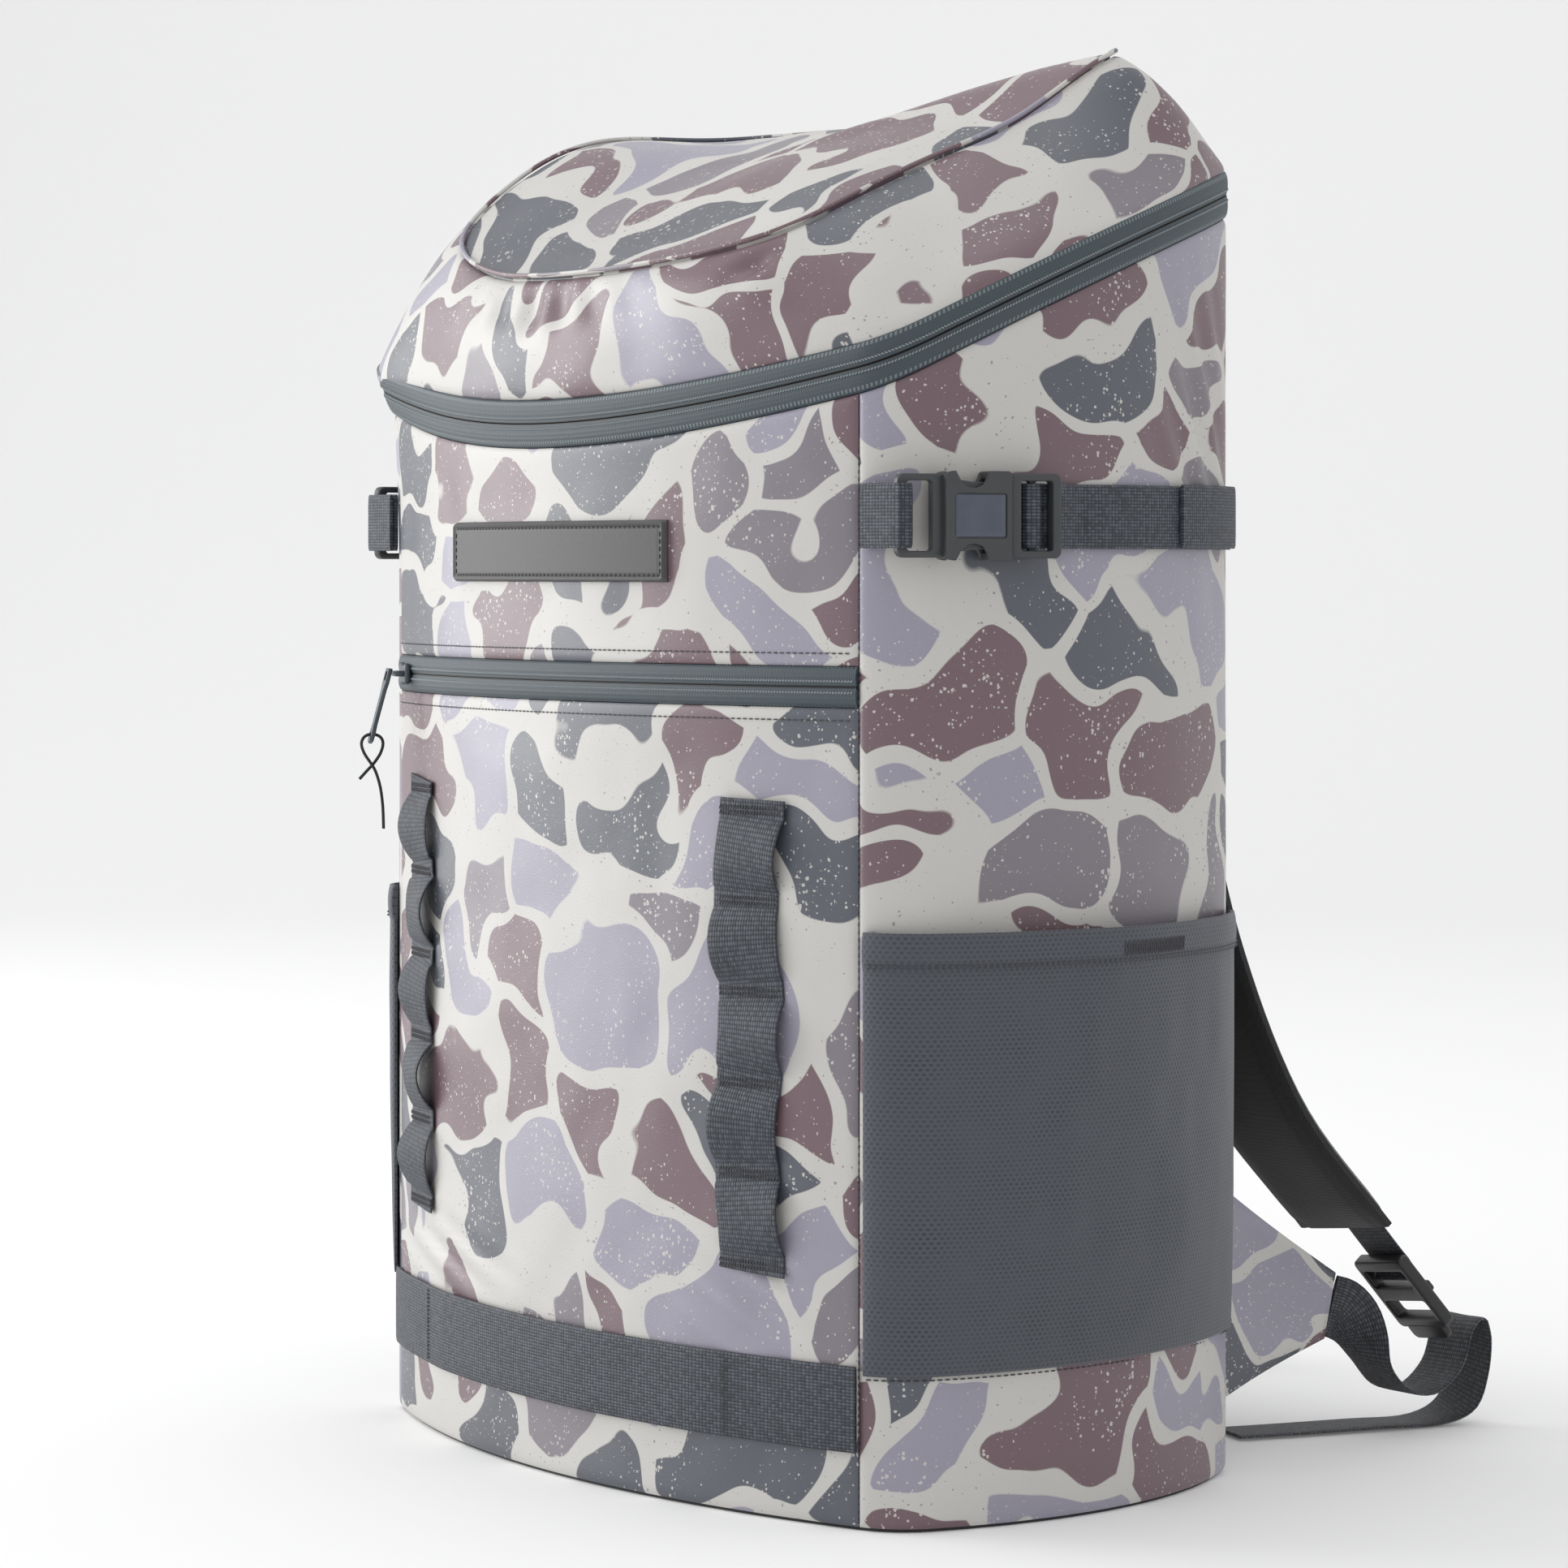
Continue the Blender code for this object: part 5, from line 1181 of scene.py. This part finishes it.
# Compression straps: each is threaded over its clip's middle bar and runs back to the rear seam.
# In front, a short sewn loop holds the buckle's ring to the front seam.
STRAP_THREAD = (
    (0.0189, -0.0045),
    (0.0192, -0.0008),
    (0.0201, 0.0010),
    (0.0214, 0.0017),
    (0.0236, 0.0017),
    (0.0249, 0.0010),
    (0.0259, -0.0010),
    (0.0272, -0.0024),
    (0.0292, -0.0029),
    (0.0335, -0.0036),
)
for side, sign in SIDES:
    place = np.array(buckle_matrix(sign))
    thread = np.array([(x, y, 0) for x, y in STRAP_THREAD]) @ place[:3, :3].T + place[:3, 3]
    line = sign * np.linspace(0.262, 0.384, 40)
    wall = on_wall(line, STRAP_HEIGHT, 0.0012 + 0.0004 * ripple(line, line * 0, 0.03, 80))[0]
    path = smooth_path(np.concatenate([thread, wall]), 3)
    piece = strap(f"{side}_long_strap", path, (0, 0, 1), 0.0238, start=0.2)
    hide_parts(f"rear_strap_{side}")
    ends = [tuple(float(c) for c in path[k]) for k in (-40, 36)]
    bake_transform(piece)
    line = sign * np.linspace(0.3210, 0.3838, 24)
    path = on_wall(line, STRAP_HEIGHT + 0.0005, 0.0031)[0]
    piece = strap(f"{side}_strap_fold", path, (0, 0, 1), 0.0240, start=0.31)
    settle(piece, "pack", "slate_webbing")
    bar = place[:3, :3] @ np.array([-0.0310, 0, 0]) + place[:3, 3]
    angle = np.linspace(-0.9, math.pi + 0.9, 11)[:, None]
    wrap = bar + 0.0038 * (np.sin(angle) * place[:3, 0] + np.cos(angle) * place[:3, 1])
    top, foot = (on_wall(sign * 0.1742, STRAP_HEIGHT, out)[0][None] for out in (0.0034, 0.0012))
    path = np.concatenate([top, wrap, foot])
    piece = strap(f"{side}_buckle_loop", smooth_path(path, 3), (0, 0, 1), 0.0236, start=0.05)
    settle(piece, "pack", "slate_webbing", f"strap_loop_{side}")

# Zip sliders and pulls: small coated castings. A slider is a waisted plate with a bridge, and its
# pull is a narrow tapered tab with an eye for a cord.
CASTING = plastic_look("coated_casting", (0.085, 0.098, 0.110), 0.35)
feed(CASTING.node_tree, CASTING.node_tree.nodes["Principled BSDF"], {"Metallic": 0.6})
SLIDER_HALF = (
    (-0.0062, 0.0030),
    (-0.0050, 0.0042),
    (-0.0015, 0.0034),
    (0.0015, 0.0034),
    (0.0050, 0.0046),
    (0.0062, 0.0036),
)
TAB_HALF = (
    (-0.0030, 0.0022),
    (0.0030, 0.0022),
    (0.0032, -0.0040),
    (0.0021, -0.0070),
    (0.0017, -0.0220),
    (0.0024, -0.0245),
    (0.0027, -0.0262),
    (0.0022, -0.0287),
    (0.0, -0.0298),
)


def slider_pieces(name, node, pull_node, s, z, climb):
    """A slider, tilted to the zip's climb, and the pull that hangs from its bridge."""
    base = wall_matrix(s, z, 0.0008)
    tilted = base @ Matrix.Rotation(-climb, 4, "Y")
    body = [*SLIDER_HALF, *((x, -z) for x, z in SLIDER_HALF[::-1])]
    parts = [
        plate([body], 0.0002, 0.0026, 0.0007, tilted),
        block((-0.0043, 0.0043), (-0.0012, 0.0012), 0.0009, 0.0020, 0.0064, 0.0008, tilted),
    ]
    settle(moulded(f"{name}_slider", parts, CASTING), node, "zip_metal", node)
    hang = base @ Matrix.Translation((0, 0.0084, 0)) @ Matrix.Rotation(math.radians(15), 4, "X")
    tab = [*TAB_HALF, *((-x, z) for x, z in TAB_HALF[-2:1:-1])]
    turn = np.linspace(0, 2 * math.pi, 12, endpoint=False)
    eye = [(0.0011 * math.cos(a), -0.0258 + 0.0011 * math.sin(a)) for a in turn]
    slot = rounded((-0.0019, 0.0019), (-0.0030, 0.0008), 0.0009, 3)
    parts = [plate([tab, eye, slot], -0.0009, 0.0009, 0.0004, hang)]
    settle(moulded(f"{name}_pull", parts, CASTING), pull_node, "zip_metal", pull_node)


slider_pieces("pocket", "pocket_slider", "pocket_pull", -0.148, POCKET_ZIP, 0.0)
for which, s in (("front", -0.290), ("rear", -0.312)):
    here, behind = zip_line(outline(np.array([s, s - 0.003]))[0][:, 1])
    climb = math.atan2(behind - here, 0.003)
    slider_pieces(f"lid_{which}", f"lid_slider_{which}", f"lid_pull_{which}", s, here, climb)

# Harness: black padded shoulder straps on webbing anchors, with adjusters and tails, a bowed haul
# handle, and a camouflage wing at each lower corner.
PAD_CLOTH = black_cloth("black_strap_cloth", 900.0)
TAIL = 0.025
ANCHOR = (
    (0.049, 0.1164, 0.4580),
    (0.049, 0.1190, 0.4540),
    (0.049, 0.1255, 0.4440),
    (0.049, 0.1338, 0.4275),
)
WEB_END = ((0.002, 0), (0.012, 0), (0.020, 0), (0.0260, 0), (0.0295, 0.0022), (0.0312, 0.005))
LOWER_STRAP = (
    (0.1130, 0.1858, 0.0548),
    (0.1130, 0.1930, 0.0520),
    (0.1128, 0.2010, 0.0420),
    (0.1118, 0.2080, 0.0300),
    (0.1108, 0.2200, 0.0190),
    (0.1100, 0.2350, 0.0170),
    (0.1095, 0.2480, 0.0260),
    (0.1090, 0.2540, 0.0400),
    (0.1080, 0.2610, 0.0440),
    (0.1065, 0.2660, 0.0360),
    (0.1050, 0.2660, 0.0220),
    (0.1020, 0.2620, 0.0080),
    (0.0980, 0.2480, 0.0016),
    (0.0930, 0.2200, 0.0016),
    (0.0860, 0.1850, 0.0016),
    (0.0800, 0.1600, 0.0016),
)
LOWER_ACROSS = ((0.0, 0.225, 0.974), (0.25, 0.5, 0.8), (0.8, 0.3, 0.3), *[(1.0, 0.0, 0.0)] * 13)
PAD_POINTS = (
    (0.050, 0.1345, 0.4250),
    (0.056, 0.1362, 0.380),
    (0.061, 0.1355, 0.325),
    (0.068, 0.1340, 0.260),
    (0.084, 0.1385, 0.198),
    (0.100, 0.1570, 0.137),
    (0.110, 0.1965, 0.086),
)


def pad_strap(name, path, width, thick, look):
    """A padded strap: its half thickness is that of a flat 2.2 mm binding, rising to thick/2 by
    (1 - |v|^4)^0.5. A sewn groove runs inside each edge, and the ends close over 12 mm."""
    across, face = path_frame(path, (1, 0, 0))[1:]
    v = np.linspace(-1, 1, 25)
    run = way_along(path)
    end = np.minimum(run, run[-1] - run)
    close = np.sqrt(np.clip(end / 0.012, 0.02, 1))
    half = 0.0011 + (thick / 2 - 0.0011) * np.sqrt(1 - np.abs(v) ** 4)[None] * close[:, None]
    groove = 0.0010 * np.exp(-(((np.abs(v) - 0.86) / 0.03) ** 2))[None]
    half = half - np.minimum(groove, half * 0.5)
    row = path[:, None] + across[:, None] * (v * width / 2)[None, :, None]
    skins = [row + face[:, None] * half[..., None] * k for k in (1, -1)]
    return shell(name, *skins, net(run, v * width / 2), look)


BLACK_PLASTIC = plastic_look("black_plastic", (0.016, 0.016, 0.017), 0.35)
WING_CLOTH = camo_cloth("wing_camo_cloth", (0.12, 2.4), 0.6)
# Its first colour is likewise the painted shade in the grooves.
GREY_WEBBING = webbing_look("grey_strap_webbing", (0.010, 0.011, 0.014), (0.095, 0.100, 0.115))
for side, sign in SIDES:
    mirror = np.array([sign, 1, 1])
    body = f"shoulder_strap_{side}"
    line = smooth_path(PAD_POINTS, 8) * mirror
    pad = pad_strap(f"{side}_shoulder_pad", line, 0.062, 0.0100, PAD_CLOTH)
    settle(pad, body, "back_fabric", f"shoulder_pad_{side}")
    piece = strap(
        f"{side}_anchor_strap", smooth_path(ANCHOR, 4) * mirror, (1, 0, 0), 0.048, GREY_WEBBING, 0.0028
    )
    settle(piece, "pack", "slate_webbing", f"strap_anchor_{side}")

    ahead, across, face = path_frame(line, (1, 0, 0))
    face = face * np.sign(face[:, 1:2])
    foot = line[-1] + face[-1] * 0.0067
    web = [line[k] + face[k] * 0.0062 for k in range(-28, -2, 4)]
    web += [foot + ahead[-1] * reach - face[-1] * dip for reach, dip in WEB_END]
    piece = strap(f"{side}_pad_webbing", smooth_path(web, 3), across[-1], TAIL, GREY_WEBBING)
    settle(piece, body, "slate_webbing", f"pad_webbing_{side}")

    spot = foot + ahead[-1] * 0.020 - face[-1] * (0.00275 + 0.0006 + 0.0008)
    turn = Matrix([Vector(across[-1]), Vector(face[-1]), Vector(-ahead[-1])]).transposed()
    lock_place = Matrix.Translation(Vector(spot)) @ turn.to_4x4()
    lock = [
        rounded((-0.0165, 0.0165), (-0.0360, 0.0), 0.0030),
        rounded((-0.0131, 0.0131), (-0.0143, -0.0058), 0.0012),
        rounded((-0.0131, 0.0131), (-0.0302, -0.0217), 0.0012),
    ]
    parts = [
        plate(lock, -0.0027, 0.0027, 0.0011, lock_place),
        block((-0.0120, 0.0120), (-0.0420, -0.0335), 0.0030, -0.0027, 0.0005, 0.0009, lock_place),
        block((-0.0155, 0.0155), (-0.0205, -0.0155), 0.0012, 0.0, 0.0045, 0.0010, lock_place),
    ]
    piece = moulded(f"{side}_ladder_lock", parts, BLACK_PLASTIC)
    settle(piece, body, "black_plastic", f"ladder_lock_{side}")

    path, across = (smooth_path(rows, 5) * mirror for rows in (LOWER_STRAP, LOWER_ACROSS))
    piece = strap(f"{side}_tail_strap", path, across, TAIL, GREY_WEBBING)
    settle(piece, body, "slate_webbing", f"lower_strap_{side}")

    u, v = np.meshgrid(graded(0.075, 0.004), graded(0.08, 0.004), indexing="ij")
    root_low, root_high = np.array([0.1245, 0.1149, 0.022]), np.array([0.1245, 0.1149, 0.112])
    tip_low, tip_high = np.array([0.113, 0.182, 0.042]), np.array([0.113, 0.188, 0.068])
    low = root_low + (tip_low - root_low) * u[..., None]
    high = root_high + (tip_high - root_high) * u[..., None]
    sheet = low + (high - low) * v[..., None]
    sheet[..., 0] += 0.0030 * np.sin(math.pi * u) * np.sin(2 * math.pi * v + 0.5)
    sheet[..., 0] -= 0.0040 * np.sin(math.pi * u)
    edge = np.minimum(np.minimum(u, 1 - u) * 0.07, np.minimum(v, 1 - v) * 0.06)
    half = 0.0008 + 0.0009 * np.clip(edge / 0.003, 0, 1)
    push = np.stack([half, half * 0, half * 0], -1)
    skins = [(sheet + push * k) * mirror for k in (1, -1)]
    piece = shell(f"{side}_wing_cloth", *skins, np.stack([u * 0.075, v * 0.08], -1), WING_CLOTH)
    settle(piece, "pack", "camo_fabric", f"strap_wing_{side}")

share = np.linspace(-1, 1, 49)
inside = np.clip(1 - np.abs(share) * 0.05 / 0.038, 0, 1)
bow = 0.0215 * np.sin(math.pi / 2 * inside)
path = np.stack([share * 0.05, 0.1160 + bow, np.full(49, 0.4733)], -1)
piece = strap("haul_handle_webbing", path, (0, 0, 1), 0.0245, GREY_WEBBING, 0.0030)
settle(piece, "pack", "slate_webbing", "haul_handle")

# Inside: a plain grey lining that shows when the lid is open, foam behind the upper front, and a
# stiff coated board under everything.


BOARD = plain_cloth("coated_base_board", (0.035, 0.036, 0.040), 0.0022)
around = np.linspace(-HALF_ROUND, HALF_ROUND, 240, endpoint=False)
share = np.linspace(0, 1, 60)
s, t = np.meshgrid(around, share, indexing="ij")
skins = []
zip_z = zip_line(outline(s)[0][..., 1])
for inset, floor in ((0.0045, 0.0043), (0.0062, 0.0060)):
    z = floor + (zip_z - LINING_DROP - floor) * t
    lean_out = 0.3 * flare(s) * np.exp((z - zip_z) / 0.03)
    xy = outline(s, lean_out - inset)[0]
    xy[..., 1] = np.maximum(xy[..., 1], -0.0900 + inset - 0.0045)
    skins.append(raised(xy, z))
piece = shell("lining_sleeve", *skins, np.stack([s, t * 0.4], -1), LINING, True)
settle(piece, "pack", "lining_fabric")
for node, look in (("inner_lining", LINING), ("front_wall_pad", LINING), ("base_panel", BOARD)):
    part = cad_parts[node]
    part.data.materials.clear()
    part.data.materials.append(look)

# Studio: a pale sweep and two wide soft lights, a main one on the left and a weak one above.


def stage_floor():
    """A pale sweep: a flat floor that turns up far behind the bag in a quarter round."""
    turn = np.linspace(0.1, 1.57, 12)
    profile = [(3.2 + 1.5 * math.sin(a), 1.5 - 1.5 * math.cos(a)) for a in turn]
    profile = [(-4.0, 0.0), (3.2, 0.0), *profile, (4.7, 4.0)]
    away = np.array([-math.sin(math.radians(56)), math.cos(math.radians(56))])
    side = np.array([away[1], -away[0]])
    points = []
    for depth, z in profile:
        for wide in (-6, 6):
            x, y = away * depth + side * wide
            points.append((x, y, z))
    faces = [(2 * k, 2 * k + 1, 2 * k + 3, 2 * k + 2) for k in range(len(profile) - 1)]
    data = bpy.data.meshes.new("sweep")
    data.from_pydata(points, [], faces)
    data.shade_smooth()
    look, tree, shader = nodes_of("pale_paper")[:3]
    glow = {"Emission Color": (1, 0.99, 0.985, 1), "Emission Strength": 0.10}
    feed(tree, shader, {"Base Color": (0.80, 0.80, 0.795, 1), "Roughness": 0.9, **glow})
    data.materials.append(look)
    made = bpy.data.objects.new("sweep", data)
    scene.collection.objects.link(made)


stage_floor()


def soft_light(name, place, aim, size, power):
    """A square soft box that faces a point."""
    data = bpy.data.lights.new(name, "AREA")
    data.size = size
    data.energy = power
    made = bpy.data.objects.new(name, data)
    made.location = place
    made.rotation_euler = (Vector(aim) - Vector(place)).to_track_quat("-Z", "Y").to_euler()
    scene.collection.objects.link(made)


soft_light("window", (-2.5, -1.6, 0.95), (0, 0, 0.25), 2.2, 62)
soft_light("top", (-0.3, -0.4, 2.6), (0, 0, 0.2), 2.0, 12)
world = bpy.data.worlds.new("studio")
world.use_nodes = True
sky = {"Color": (0.985, 0.99, 1.0, 1), "Strength": 0.86}
feed(world.node_tree, world.node_tree.nodes["Background"], sky)
scene.world = world
scene.view_settings.view_transform = "Standard"
